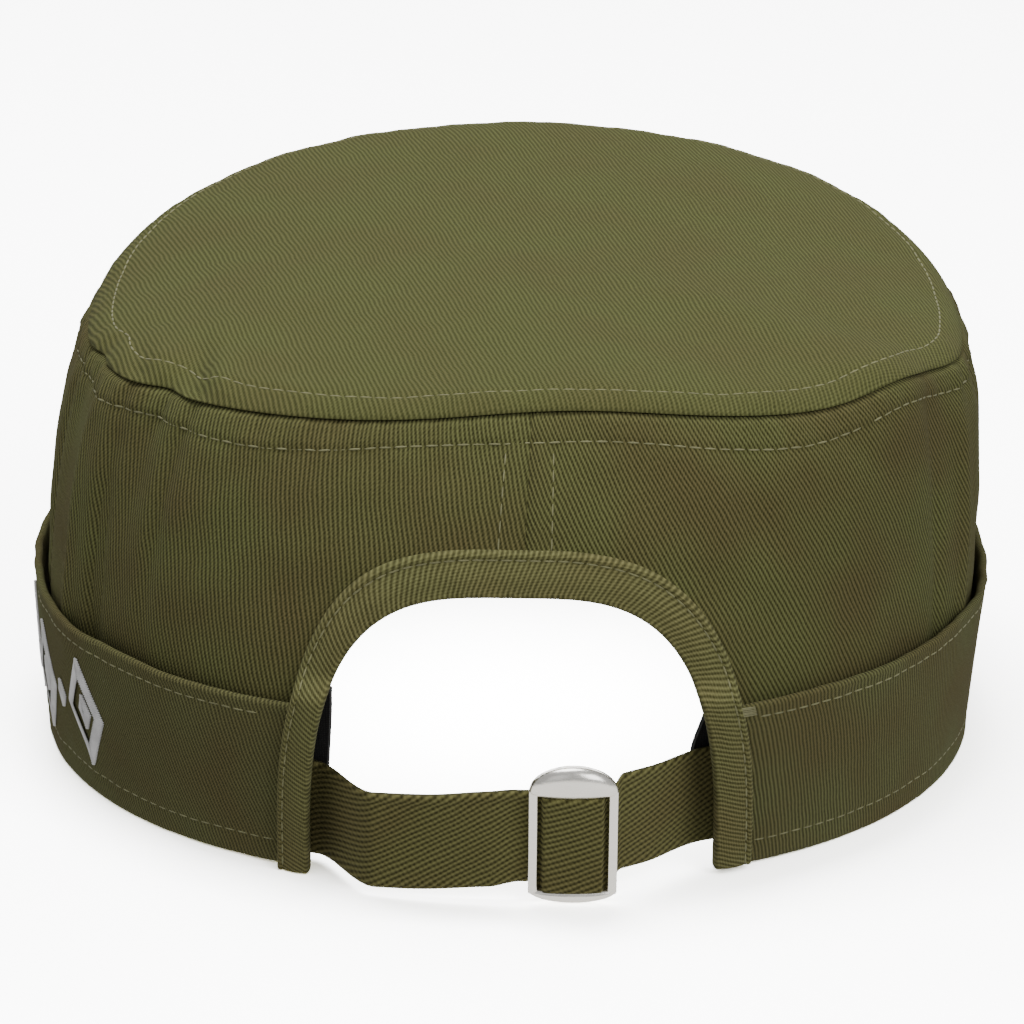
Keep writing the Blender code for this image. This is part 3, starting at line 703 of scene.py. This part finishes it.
def tape_point(share, away, side, through):
    """Points of the tape: along the arch, that far from its fold, on its outer (1) or inner (-1) side."""
    fold = TAPE_CLOTH * (1 - through * np.sqrt(np.clip(1 - side * side, 0, 1)))
    leg = np.where(share < 0.5, TAPE_NARROWING_LEFT, TAPE_NARROWING_RIGHT)
    narrowed = 1 - leg * smooth_step((np.abs(share - 0.5) - 0.12) / 0.22) * np.clip(side, 0, 1)
    x, z = arch_point(share, away * narrowed + fold)
    z = np.maximum(z, np.where(share < 0.5, TAPE_FOOT, TAPE_FOOT_RIGHT))
    lifted = TAPE_GAP + over_band(z) * (BAND_STAND_OFF_EDGE + BAND_CLOTH)
    inner = -CLOTH - TAPE_GAP
    thick = TAPE_CLOTH * through
    from_edge = TAPE_WIDTH - away
    # a soft puff, a raised edge, the dent of the stitches and the rounding of the folded edge
    puff = 0.35 * MM * bell(from_edge - 4.3 * MM, 2.0 * MM) + 0.30 * MM * bell(from_edge - 0.7 * MM, 0.6 * MM)
    puff -= 0.28 * MM * bell(from_edge - TAPE_STITCH_IN, 0.40 * MM)
    puff -= 0.85 * MM * (1 - round_off(from_edge / (0.6 * MM)))
    puff += 0.10 * MM * ripple(np.stack([x, 0 * x, z], axis=-1), 7 * MM, 41)
    half_depth = (lifted - inner) / 2 + thick + np.clip(side, 0, 1) * puff * (0.3 + 0.7 * through)
    return back_point(x, z, (lifted + inner) / 2 + side * half_depth)


work, along, across, through = cloth_slab(300, 64)
away = np.where(across < 0.5, 1 - across / TAPE_LEG_SHARE, 1 - (1 - across) / TAPE_LEG_SHARE)
away = TAPE_WIDTH * np.clip(away, 0, 1)
turn = np.clip((across - TAPE_LEG_SHARE) / (1 - 2 * TAPE_LEG_SHARE), 0, 1) * math.pi
run = fold_run[-1] * along
points = tape_point(np.interp(run, fold_run, dense), away, np.cos(turn), through)
# the inner leg takes its weave from another place
weave = np.stack([run, away + np.where(across < 0.5, 0, 0.02)], axis=-1)
TAPE_OLIVE = DyeAndGrooveShade((0.226, 0.228, 0.092), (0.064, 0.062, 0.022), (0.228, 0.200, 0.084))
tape_twill = twill("olive_tape", TAPE_OLIVE, 68, 0.82)
tape = cloth_object("opening_tape", work, points, weave, tape_twill)
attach(tape, "root")
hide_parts("arch_binding")

tape_stitches = []
run = np.linspace(1 * MM, fold_run[-1] - 1 * MM, 500)
row = tape_point(np.interp(run, fold_run, dense), TAPE_WIDTH - TAPE_STITCH_IN, 1.0, 1.0)
row[:, 1] += STITCH_PROUD
stitch_row(tape_stitches, row, (0.0, 1.0, 0.1), step=2.5 * MM, length=2.1 * MM)
# the bar tack where the band's folded edge meets the tape on the -X side
tack_height = BAND_HEIGHT + RIM_LIFT_BACK - 1.2 * MM
tape_edge = tape_point(np.linspace(0.5, 1, 400), TAPE_WIDTH - 1.6 * MM, 1.0, 1.0)
for i in range(TACK_THREADS):
    height = tack_height + (i - (TACK_THREADS - 1) / 2) * TACK_STEP
    start = tape_edge[np.argmin(np.abs(tape_edge[:, 2] - height))] + (0, 0.15 * MM, 0)
    end = back_point(start[0] - TACK_LENGTH, height - 0.4 * MM, 3.5 * MM)
    lay_stitch(tape_stitches, start, end, np.array((-0.3, 1.0, 0.1)), 0.14 * MM)
stitches_object("tape_stitches", tape_stitches, olive_thread)

# Sweatband: a black cotton tape inside the rim, folded at its lower edge and open at the back opening.
# A row of black stitches runs near each of its edges, and its ends dip behind the opening's tape.
SWEATBAND_CLOTH = 1.0 * MM
SWEATBAND_FOOT = 2.0 * MM
SWEATBAND_HEIGHT = 33.0 * MM
SWEATBAND_PAST_TAPE = 4.5 * MM
SWEATBAND_DEEP_STRETCH = math.radians(11)
SWEATBAND_EASE = math.radians(14)
LINING_STITCH_IN = 2.5 * MM
WEBBING = 1.2 * MM
CLOSE = -CLOTH - GAP
BEHIND_TAPE = -CLOTH - TAPE_GAP - TAPE_CLOTH - GAP
DEEP = BEHIND_TAPE - WEBBING - GAP


def sweatband_point(along, rise, inwards):
    height = SWEATBAND_FOOT + rise
    end_x = ARCH_HALF_WIDTH - SWEATBAND_PAST_TAPE
    # the cut end on the -X side slants back towards its upper corner
    slant = 3.6 * MM * smooth_step((rise - 14 * MM) / (18 * MM))
    first = back_angle(-end_x - slant - ARCH_OFFSET, height, DEEP + 0 * height)
    last = back_angle(end_x + 0.9 * MM - ARCH_OFFSET + 0 * height, height, DEEP + 0 * height) + math.tau
    angle = first + (last - first) * along
    from_end = np.minimum(angle - first, last - angle)
    turned_up = 9 * MM * (1 - smooth_step(from_end / math.radians(9))) * (1 - rise / SWEATBAND_HEIGHT)
    height = height + rim_height(angle) + turned_up
    offset = DEEP + (CLOSE - DEEP) * smooth_step((from_end - SWEATBAND_DEEP_STRETCH) / SWEATBAND_EASE)
    plain = wall_base(angle, height)
    soft = 0.12 * MM * ripple(plain, 20 * MM, 51)
    from_rows = (SWEATBAND_HEIGHT - rise - LINING_STITCH_IN, rise - LINING_STITCH_IN)
    dents = sum(bell(distance, 0.5 * MM) for distance in from_rows)
    return wall_point(angle, height, offset + inwards * (0.2 * MM * dents + soft - SWEATBAND_CLOTH)), angle


def plain_weave(name, light, dark, pitch):
    """A close plain weave of fine threads, both ways alike. It is painted darker between the threads, as
    shade.
    """
    finish, tree = new_finish(name, {"Roughness": 0.85, "Specular IOR Level": 0.2, "Sheen Weight": 0.15})
    place = pattern_step(tree, "UVMap", "UV", uv_map="weave")
    scaled = pattern_step(tree, "Mapping", "Vector", {"Vector": place, "Scale": IN_MILLIMETRES})
    wave = {"Vector": scaled, "Scale": ONE_BAND / pitch}
    checks = pattern_step(tree, "TexWave", "Fac", wave)
    ribs = pattern_step(tree, "TexWave", "Fac", wave, bands_direction="Y")
    woven = pattern_step(tree, "Math", "Value", {0: checks, 1: ribs}, operation="MULTIPLY")
    # painted shade: the dark colour lies where the weave is low, between the threads
    join_shader(tree, "Base Color", blend(tree, woven, dark, light))
    press_relief(tree, woven, 0.10 * MM, 0.6)
    return finish


work, along, up, inwards = cloth_slab(360, 30)
points, angle = sweatband_point(along, SWEATBAND_HEIGHT * up, inwards)
weave = np.stack([angle * HALF_WIDTH, up * SWEATBAND_HEIGHT], axis=-1)
black_tape = plain_weave("black_tape", (0.017, 0.016, 0.017), (0.004, 0.004, 0.004), 0.5)
sweatband = cloth_object("sweatband_tape", work, points, weave, black_tape)
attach(sweatband, "root")
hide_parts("sweatband")

lining_stitches = []
along = np.linspace(0.01, 0.99, 500)
for rise in (LINING_STITCH_IN, SWEATBAND_HEIGHT - LINING_STITCH_IN):
    row, angle = sweatband_point(along, rise, 1.0)
    facing = -wall_outwards(angle, row[:, 2])
    stitch_row(lining_stitches, row + facing * STITCH_PROUD, facing)
black_thread = thread_finish("black_thread", (0.035, 0.034, 0.034), 0.1)
stitches_object("sweatband_stitches", lining_stitches, black_thread)

# Strap: flat twill webbing with woven edges. Both ends are sewn in behind the tape. It bulges a little
# past the crown and passes behind the slider's side bars and over its middle bar.
STRAP_WIDTH = 20.0 * MM
STRAP_BULGE = 8.3 * MM
STRAP_HIDDEN_LENGTH = 7.0 * MM
STRAP_MIDDLE_HEIGHT = 13.0 * MM
STRAP_RISE_START = 1.0 * MM
STRAP_RISE_LEFT = 0.30
STRAP_RISE_RIGHT = 0.56
STRAP_FLAT_LEFT = 9.0 * MM
STRAP_FLAT_RIGHT = 6.2 * MM
STRAP_EASE_LEFT = 6.0 * MM
STRAP_EASE_RIGHT = 2.6 * MM
StrapHeight = namedtuple("StrapHeight", "along height")
STRAP_HEIGHTS = (
    StrapHeight(-1.0, 0.83),
    StrapHeight(-0.5, 0.87),
    StrapHeight(0.0, 0.99),
    StrapHeight(0.25, 1.025),
    StrapHeight(0.42, 1.16),
    StrapHeight(0.62, 1.10),
    StrapHeight(1.0, 1.10),
)
BUCKLE_OFFSET = 11.7 * MM
BUCKLE_WIDTH = 15.8 * MM
BUCKLE_THICKNESS = 1.4 * MM
BUCKLE_SIDE_BAR = 1.9 * MM
BUCKLE_MIDDLE_BAR = 1.4 * MM
LOOP_HALF_LENGTH = 5.9 * MM
LOOP_EASE = 0.8 * MM
LOOP_LIFT = 1.9 * MM
LOOP_BOW = 0.5 * MM
BEAD_STEP = 0.95 * MM


def strap_base(x, across):
    """Points of the strap's outer face, without the step over the slider's middle bar."""
    x = np.asarray(x, float)
    from_middle = x + ARCH_OFFSET
    (height,) = smooth_table(STRAP_HEIGHTS, -from_middle / (ARCH_HALF_WIDTH + STRAP_HIDDEN_LENGTH))
    height = height * STRAP_MIDDLE_HEIGHT + (across - 0.5) * STRAP_WIDTH
    rise_share = np.where(from_middle > 0, STRAP_RISE_LEFT, STRAP_RISE_RIGHT)
    from_edge = ARCH_HALF_WIDTH - STRAP_RISE_START - np.abs(from_middle)
    rise = smooth_step(from_edge / (rise_share * ARCH_HALF_WIDTH))
    return back_point(x, height, BEHIND_TAPE + (STRAP_BULGE - BEHIND_TAPE) * rise)


def unit(way):
    return way / np.linalg.norm(way)


slider_middle = strap_base(-BUCKLE_OFFSET, 0.5)
across_head = np.array((1.0, 0.0, 0.0))
slider_up = strap_base(-BUCKLE_OFFSET, 0.9) - strap_base(-BUCKLE_OFFSET, 0.1)
slider_up = unit(slider_up * (0, 1, 1))
slider_out = unit(np.cross(slider_up, across_head))

work, along, around = cloth_sleeve(420, 70)
share, side, bulge = strip_section(around, 0.05)
half_length = ARCH_HALF_WIDTH + STRAP_HIDDEN_LENGTH
x = half_length * (1 - 2 * along) - ARCH_OFFSET
edge_round = WEBBING / 2
across = (edge_round + (STRAP_WIDTH - 2 * edge_round) * share + edge_round * bulge) / STRAP_WIDTH
from_bar = np.abs(x + BUCKLE_OFFSET)
bow = np.sqrt(np.clip(1 - (from_bar / (BUCKLE_WIDTH / 2 - BUCKLE_SIDE_BAR)) ** 2, 0, 1))
over_bar = smooth_step((LOOP_HALF_LENGTH - from_bar) / LOOP_EASE)
weave_over = LOOP_LIFT + LOOP_BOW * bow
# the woven edges are rows of small beads with a shallow groove beside them
from_edge = STRAP_WIDTH * np.minimum(share, 1 - share)
run = half_length * 2 * along
beads = 0.5 + 0.5 * np.sin(math.tau * run / BEAD_STEP)
edge_relief = (0.16 + 0.12 * beads) * MM * bell(from_edge - 0.5 * MM, 0.55 * MM)
edge_relief -= 0.10 * MM * bell(from_edge - 1.5 * MM, 0.35 * MM)
points = strap_base(x, across)
# the slider holds the strap flat, and its middle bar pushes the lower edge down a little
flat_length = np.where(x > -BUCKLE_OFFSET, STRAP_FLAT_LEFT, STRAP_FLAT_RIGHT)
ease = np.where(x > -BUCKLE_OFFSET, STRAP_EASE_LEFT, STRAP_EASE_RIGHT)
held = smooth_step((flat_length + ease - from_bar) / ease)
in_slider = smooth_step((BUCKLE_WIDTH / 2 - from_bar) / (1.2 * MM))
droop = 0.35 * MM * over_bar * bow + (0.75 + 1.1 * (1 - over_bar)) * MM * in_slider
flat = slider_middle + np.outer(x + BUCKLE_OFFSET, across_head)
flat += np.outer((across - 0.5) * STRAP_WIDTH - droop * (1 - across), slider_up)
points += held[:, None] * (flat - points)
soft = 0.12 * MM * ripple(points, 12 * MM, 61)
lift = weave_over * over_bar - WEBBING * (0.5 - side / 2) + side * edge_relief * (1 - 0.5 * over_bar) + soft
points += slider_out * lift[:, None]
# the ribs rise gently on the +X side, lie almost level in the slider and rise steeply past it
RibSlope = namedtuple("RibSlope", "along slope")
RIB_SLOPES = (
    RibSlope(0.00, 0.50),
    RibSlope(0.45, 0.52),
    RibSlope(0.60, 0.38),
    RibSlope(0.72, 0.44),
    RibSlope(0.82, 0.54),
    RibSlope(1.00, 0.58),
)
steps = np.linspace(0, 1, 400)
(slopes,) = smooth_table(RIB_SLOPES, steps)
climb = np.concatenate([[0], np.cumsum(0.5 * (slopes[1:] + slopes[:-1]) * np.diff(steps))]) * 2 * half_length
# the inner face takes its weave from another place
inner_shift = np.where(side < 0, 0.05, 0)
weave = np.stack([run, across * STRAP_WIDTH - np.interp(along, steps, climb) + inner_shift], axis=-1)
WEBBING_OLIVE = DyeAndGrooveShade((0.232, 0.224, 0.084), (0.044, 0.041, 0.014), (0.212, 0.182, 0.072))
webbing = twill("olive_webbing", WEBBING_OLIVE, 0, 1.12)
strap = cloth_object("webbing_strap", work, points, weave, webbing)
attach(strap, "root")
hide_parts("strap")

# Slider: a pressed metal frame, nickel plated with a satin finish. Two narrow side bars and a middle bar run
# between two domed ends.
BUCKLE_END_ROOT = 0.9 * MM
BUCKLE_END_SEAT = 0.20 * MM
BUCKLE_TOP_RISE = 4.6 * MM
BUCKLE_TOP_DIP = 1.0 * MM
BUCKLE_FOOT_RISE = 1.6 * MM
BUCKLE_FOOT_DIP = 0.2 * MM
BUCKLE_CROWN = 1.7 * MM
BUCKLE_CLEARANCE = 0.6 * MM
BUCKLE_BAR_EDGE = 0.35 * MM
SLIM_SIDE_BAR = 1.65 * MM
half_width = BUCKLE_WIDTH / 2
window_half = STRAP_WIDTH / 2 + BUCKLE_CLEARANCE

nickel, tree = new_finish("satin_nickel", {"Metallic": 1.0})
place = pattern_step(tree, "TexCoord", "Object")
drawn = pattern_step(tree, "Mapping", "Vector", {"Vector": place, "Scale": (500, 500, 3500)})
brushed = pattern_step(tree, "TexNoise", "Fac", {"Vector": drawn, "Scale": 1.0, "Detail": 3.0})
gloss = pattern_step(tree, "MapRange", "Result", {"Value": brushed, "To Min": 0.20, "To Max": 0.34})
join_shader(tree, "Roughness", gloss)
join_shader(tree, "Base Color", blend(tree, brushed, (0.84, 0.81, 0.75), (0.99, 0.97, 0.91)))
press_relief(tree, brushed, 0.03 * MM, 0.35)

slider_work = bmesh.new()
for side, end_rise, dip, crown in (
    (-1, BUCKLE_FOOT_RISE, BUCKLE_FOOT_DIP, 0.5 * BUCKLE_CROWN),
    (1, BUCKLE_TOP_RISE, BUCKLE_TOP_DIP, BUCKLE_CROWN),
):
    flat = bmesh.ops.create_grid(slider_work, x_segments=64, y_segments=64, size=1)["verts"]
    faces = list({face for vertex in flat for face in vertex.link_faces})
    lifted = bmesh.ops.extrude_face_region(slider_work, geom=faces, use_keep_orig=True)
    raised = {part for part in lifted["geom"] if isinstance(part, bmesh.types.BMVert)}
    for vertex in [*flat, *raised]:
        x, z = disc_point(vertex.co.x, vertex.co.y)
        radius = min(1.0, math.hypot(x, z))
        reach_up = math.sqrt(max(1e-9, 1 - x * x))
        depth = (BUCKLE_END_ROOT + end_rise + dip) * (z + reach_up) / 2 - dip * reach_up
        dome = math.sqrt(max(0.0, 1 - radius**2.2))
        face = BUCKLE_THICKNESS * 0.5 + (BUCKLE_THICKNESS * 0.5 + crown) * dome
        back = BUCKLE_THICKNESS * 0.5 * (1 - min(1.0, 4 * dome))
        out = face if vertex in raised else back
        vertex.co = (half_width * x, out, side * (window_half + BUCKLE_END_SEAT + depth))
bar_length = 2 * window_half + 1.6 * MM
for middle, width, front, thickness in (
    (-half_width + SLIM_SIDE_BAR / 2, SLIM_SIDE_BAR, BUCKLE_THICKNESS, BUCKLE_THICKNESS),
    (half_width - SLIM_SIDE_BAR / 2, SLIM_SIDE_BAR, BUCKLE_THICKNESS, BUCKLE_THICKNESS),
    (0.0, BUCKLE_MIDDLE_BAR, 0.3 * MM, 0.9 * MM),
):
    place = Matrix.Translation((middle, front - thickness / 2, 0))
    size = Matrix.Diagonal((width, thickness, bar_length, 1))
    bar = bmesh.ops.create_cube(slider_work, size=1, matrix=place @ size)
    edges = list({edge for vertex in bar["verts"] for edge in vertex.link_edges})
    bmesh.ops.bevel(
        slider_work,
        geom=edges,
        offset=BUCKLE_BAR_EDGE,
        segments=4,
        affect="EDGES",
        profile=0.5,
        material=-1,
    )
bmesh.ops.recalc_face_normals(slider_work, faces=slider_work.faces)
turn = Matrix((Vector(across_head), Vector(slider_out), Vector(slider_up))).transposed().to_4x4()
slider_place = Matrix.Translation(Vector(slider_middle + slider_out * GAP)) @ turn
bmesh.ops.transform(slider_work, matrix=slider_place, verts=slider_work.verts)
bmesh.ops.translate(slider_work, verts=slider_work.verts, vec=HEAD_MIDDLE)
slider = new_object("slide_buckle_metal", slider_work, nickel)
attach(slider, "root")
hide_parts("slide_buckle")

# Peak: a stiff board covered in twill on both sides, sewn under the front of the rim.
# Rows of stitches follow its outer edge.
PEAK_THICKNESS = 2.4 * MM
PEAK_REACH = 52.0 * MM
PEAK_HALF_ANGLE = math.radians(56)
PEAK_SQUARENESS = 2.1
PEAK_TIP_HEIGHT = 7.5 * MM
PEAK_LOW_SHARE = 0.9
PEAK_FALL_POWER = 1.3
PEAK_TUCK = 4.2 * MM
PEAK_ROWS = (5, 12, 19, 26, 33)
PEAK_EDGE_ROUND = 1.2 * MM


def peak_point(along, forward, down):
    angle = FRONT + PEAK_HALF_ANGLE * (2 * along - 1)
    rim = wall_base(angle, rim_height(angle))
    tucked = 1 - PEAK_TUCK / np.hypot(rim[..., 0], rim[..., 1])
    side_angle = np.array(FRONT + PEAK_HALF_ANGLE)
    corner = wall_base(side_angle, rim_height(side_angle))
    front = wall_base(np.array(FRONT), rim_height(np.array(FRONT)))
    power = 2 / PEAK_SQUARENESS
    turn = math.pi * along
    edge_x = -corner[0] * np.sign(np.cos(turn)) * np.abs(np.cos(turn)) ** power
    edge_y = corner[1] + (front[1] - PEAK_REACH - corner[1]) * np.clip(np.sin(turn), 0, 1) ** power
    from_middle = angle_from(angle, FRONT) / PEAK_HALF_ANGLE
    root = rim[..., 2] - GAP
    edge = PEAK_THICKNESS + PEAK_TIP_HEIGHT * (1 - smooth_step(from_middle / PEAK_LOW_SHARE))
    x = rim[..., 0] * tucked * (1 - forward) + edge_x * forward
    y = rim[..., 1] * tucked * (1 - forward) + edge_y * forward
    reach = np.hypot(edge_x - rim[..., 0] * tucked, edge_y - rim[..., 1] * tucked)
    from_edge = (1 - forward) * reach
    closing = 1 - round_off(from_edge / PEAK_EDGE_ROUND)
    height = root + (edge - root) * forward**PEAK_FALL_POWER
    # the cloth puffs up along the edge, and each row of stitches pulls it in
    dents = sum(bell(from_edge - row * MM, 0.45 * MM) for row in PEAK_ROWS)
    puff = 0.18 * MM * bell(from_edge - 2.4 * MM, 1.6 * MM) - 0.22 * MM * dents
    lower = down > 0.5
    sunk = 0.5 * PEAK_THICKNESS * closing
    place = height - np.where(lower, PEAK_THICKNESS - sunk, sunk)
    place = place + np.where(lower, -1, 1) * puff * (1 - closing)
    return np.stack([x, y, np.where(lower, np.maximum(place, 0.02 * MM), place)], axis=-1), from_edge


work, along, forward, down = cloth_slab(220, 110)
forward = 1 - (1 - forward) ** 1.25
points, _ = peak_point(along, forward, down)
weave = -points[:, :2]
peak_twill = twill("olive_peak", OLIVE, -75)
peak = cloth_object("stiff_peak", work, points, weave, peak_twill)
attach(peak, "root")
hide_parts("peak")

peak_stitches = []
along = np.linspace(0.0, 1.0, 500)
for row_in in PEAK_ROWS:
    forward = np.ones_like(along)
    for _ in range(4):
        _, from_edge = peak_point(along, forward, 0.0)
        reach = np.maximum(from_edge / np.maximum(1 - forward, 1e-6), 20 * MM)
        forward = forward - (row_in * MM - from_edge) / reach
    keep = forward > 0.12
    for down, out in ((0.0, 1.0), (1.0, -1.0)):
        row, _ = peak_point(along[keep], forward[keep], down)
        row[:, 2] += out * STITCH_PROUD
        stitch_row(peak_stitches, row, (0.0, 0.0, out))
stitches_object("peak_stitches", peak_stitches, olive_thread)

# Band ornament: a plain row of lozenges in raised white satin stitch on the wearer's left of the band.
# Each is open, with a small one inside it, and a still smaller one stands between two neighbours.
ORNAMENT_MIDDLES = (-23, -9, 5, 19, 33)
ORNAMENT_HEIGHT = 17.5 * MM
LOZENGE_HALF_HEIGHT = 11.5 * MM
LOZENGE_HALF_WIDTH = 7.4 * MM
LOZENGE_HOLLOW = 0.56
INNER_LOZENGE_SHARE = 0.36
LINK_HALF_HEIGHT = 3.4 * MM
LINK_HALF_WIDTH = 2.4 * MM
SATIN_STEP = 0.40 * MM
SATIN_THREAD = 0.24 * MM
SATIN_SHORTEST = 0.5 * MM
SATIN_OVERLAP = 0.1 * MM
SATIN_RAISE = np.array((0.55, 0.12)) * MM


def satin_lozenge(laid, middle, half_height, half_width, hollow=0.0):
    """Two fans of threads that meet on the lozenge's upright middle line, or leave a smaller lozenge open."""
    count = int(2 * half_height / SATIN_STEP)
    for i in range(count + 1):
        up = -half_height + 2 * half_height * i / count
        width = half_width * (1 - abs(up) / half_height)
        inner = max(-SATIN_OVERLAP, half_width * (hollow - abs(up) / half_height))
        if width < SATIN_SHORTEST:
            continue
        for side in (-1, 1):
            angle = middle + np.array([inner, width]) * side / HALF_WIDTH
            rise = ORNAMENT_HEIGHT + np.array([up, up])
            height = rim_height(angle) + rise
            ends = wall_point(angle, height, band_lift(angle, rise) + SATIN_RAISE)
            lay_stitch(laid, ends[0], ends[1], wall_outwards(angle, height)[0], SATIN_THREAD)


satin = []
for degrees in ORNAMENT_MIDDLES:
    middle = math.radians(degrees)
    for share, hollow in ((1.0, LOZENGE_HOLLOW), (INNER_LOZENGE_SHARE, 0.0)):
        satin_lozenge(satin, middle, share * LOZENGE_HALF_HEIGHT, share * LOZENGE_HALF_WIDTH, hollow)
for before, after in zip(ORNAMENT_MIDDLES, ORNAMENT_MIDDLES[1:]):
    satin_lozenge(satin, math.radians((before + after) / 2), LINK_HALF_HEIGHT, LINK_HALF_WIDTH)
white_thread = thread_finish("white_thread", (0.94, 0.93, 0.92), 0.3)
stitches_object("band_ornament", satin, white_thread)

# Studio: a pale floor under soft light from above and both sides, and the camera behind the cap.
# Just under the floor lies a faintly glowing sheet, seen only as its reflection in the metal.
FLOOR_HALF_SIZE = 3.0
FLOOR_WHITE = (9.0, 9.0, 9.0, 1)
GLOW_HALF_SIZE = 1.0
GLOW_DEPTH = 0.2 * MM
GLOW_STRENGTH = 1.35
SKY_STRENGTH = 0.44


def stage_sheet(name, half_size, height, finish):
    """A flat sheet that throws no light of its own on the cloth."""
    work = bmesh.new()
    bmesh.ops.create_grid(work, x_segments=1, y_segments=1, size=half_size)
    bmesh.ops.translate(work, verts=work.verts, vec=(0, 0, height))
    sheet = new_object(name, work, finish)
    sheet.visible_diffuse = False
    return sheet


pale, _ = new_finish("pale_floor", {"Base Color": FLOOR_WHITE, "Roughness": 0.9})
floor = stage_sheet("floor", FLOOR_HALF_SIZE, 0.0, pale)
floor.visible_glossy = False

glow_values = {
    "Base Color": (0, 0, 0, 1),
    "Emission Color": (1.0, 0.98, 0.94, 1),
    "Emission Strength": GLOW_STRENGTH,
}
glowing, _ = new_finish("floor_reflection", glow_values)
glow = stage_sheet("floor_reflection", GLOW_HALF_SIZE, -GLOW_DEPTH, glowing)
glow.visible_camera = False
glow.visible_shadow = False
glow.visible_transmission = False

world = bpy.data.worlds.new("studio")
bpy.context.scene.world = world
world.use_nodes = True
world.node_tree.nodes["Background"].inputs["Color"].default_value = (1, 1, 1, 1)
world.node_tree.nodes["Background"].inputs["Strength"].default_value = SKY_STRENGTH

Lamp = namedtuple("Lamp", "name place aim size power")
LAMPS = (
    Lamp("overhead", (0.14, -0.16, 1.28), (0.0, 0.0, 0.05), 0.7, 11),
    Lamp("right_fill", (-0.85, 1.15, 0.95), (0.0, 0.05, 0.04), 0.9, 10),
    Lamp("left_fill", (0.60, 1.30, 0.70), (0.0, 0.05, 0.04), 0.8, 0.8),
    Lamp("inside", (0.0, 0.02, 0.070), (0.0, 0.02, 0.0), 0.10, 0.15),
)
for lamp in LAMPS:
    light = bpy.data.lights.new(lamp.name, "AREA")
    light.size = lamp.size
    light.energy = lamp.power
    holder = bpy.data.objects.new(lamp.name, light)
    bpy.context.collection.objects.link(holder)
    holder.visible_camera = False
    holder.location = lamp.place
    holder.rotation_euler = (Vector(lamp.aim) - Vector(lamp.place)).to_track_quat("-Z", "Y").to_euler()

CAMERA_DISTANCE = 1.014
CAMERA_ELEVATION = math.radians(18.25)
CAMERA_ROLL = math.radians(0.4)
CAMERA_TARGET = Vector((0.0, 0.0209, 0.040))
LENS_LENGTH = 183.6
SENSOR_WIDTH = 36
FRAME_PIXELS = 1024
towards = Vector((0, math.cos(CAMERA_ELEVATION), math.sin(CAMERA_ELEVATION)))
lens = bpy.data.cameras.new("camera")
lens.sensor_width = SENSOR_WIDTH
lens.lens = LENS_LENGTH
lens.shift_x = 3 / FRAME_PIXELS
lens.shift_y = -1 / FRAME_PIXELS
camera = bpy.data.objects.new("camera", lens)
bpy.context.collection.objects.link(camera)
aimed = (-towards).to_track_quat("-Z", "Y").to_matrix() @ Matrix.Rotation(CAMERA_ROLL, 3, "Z")
camera.matrix_world = Matrix.Translation(CAMERA_TARGET + towards * CAMERA_DISTANCE) @ aimed.to_4x4()
bpy.context.scene.camera = camera
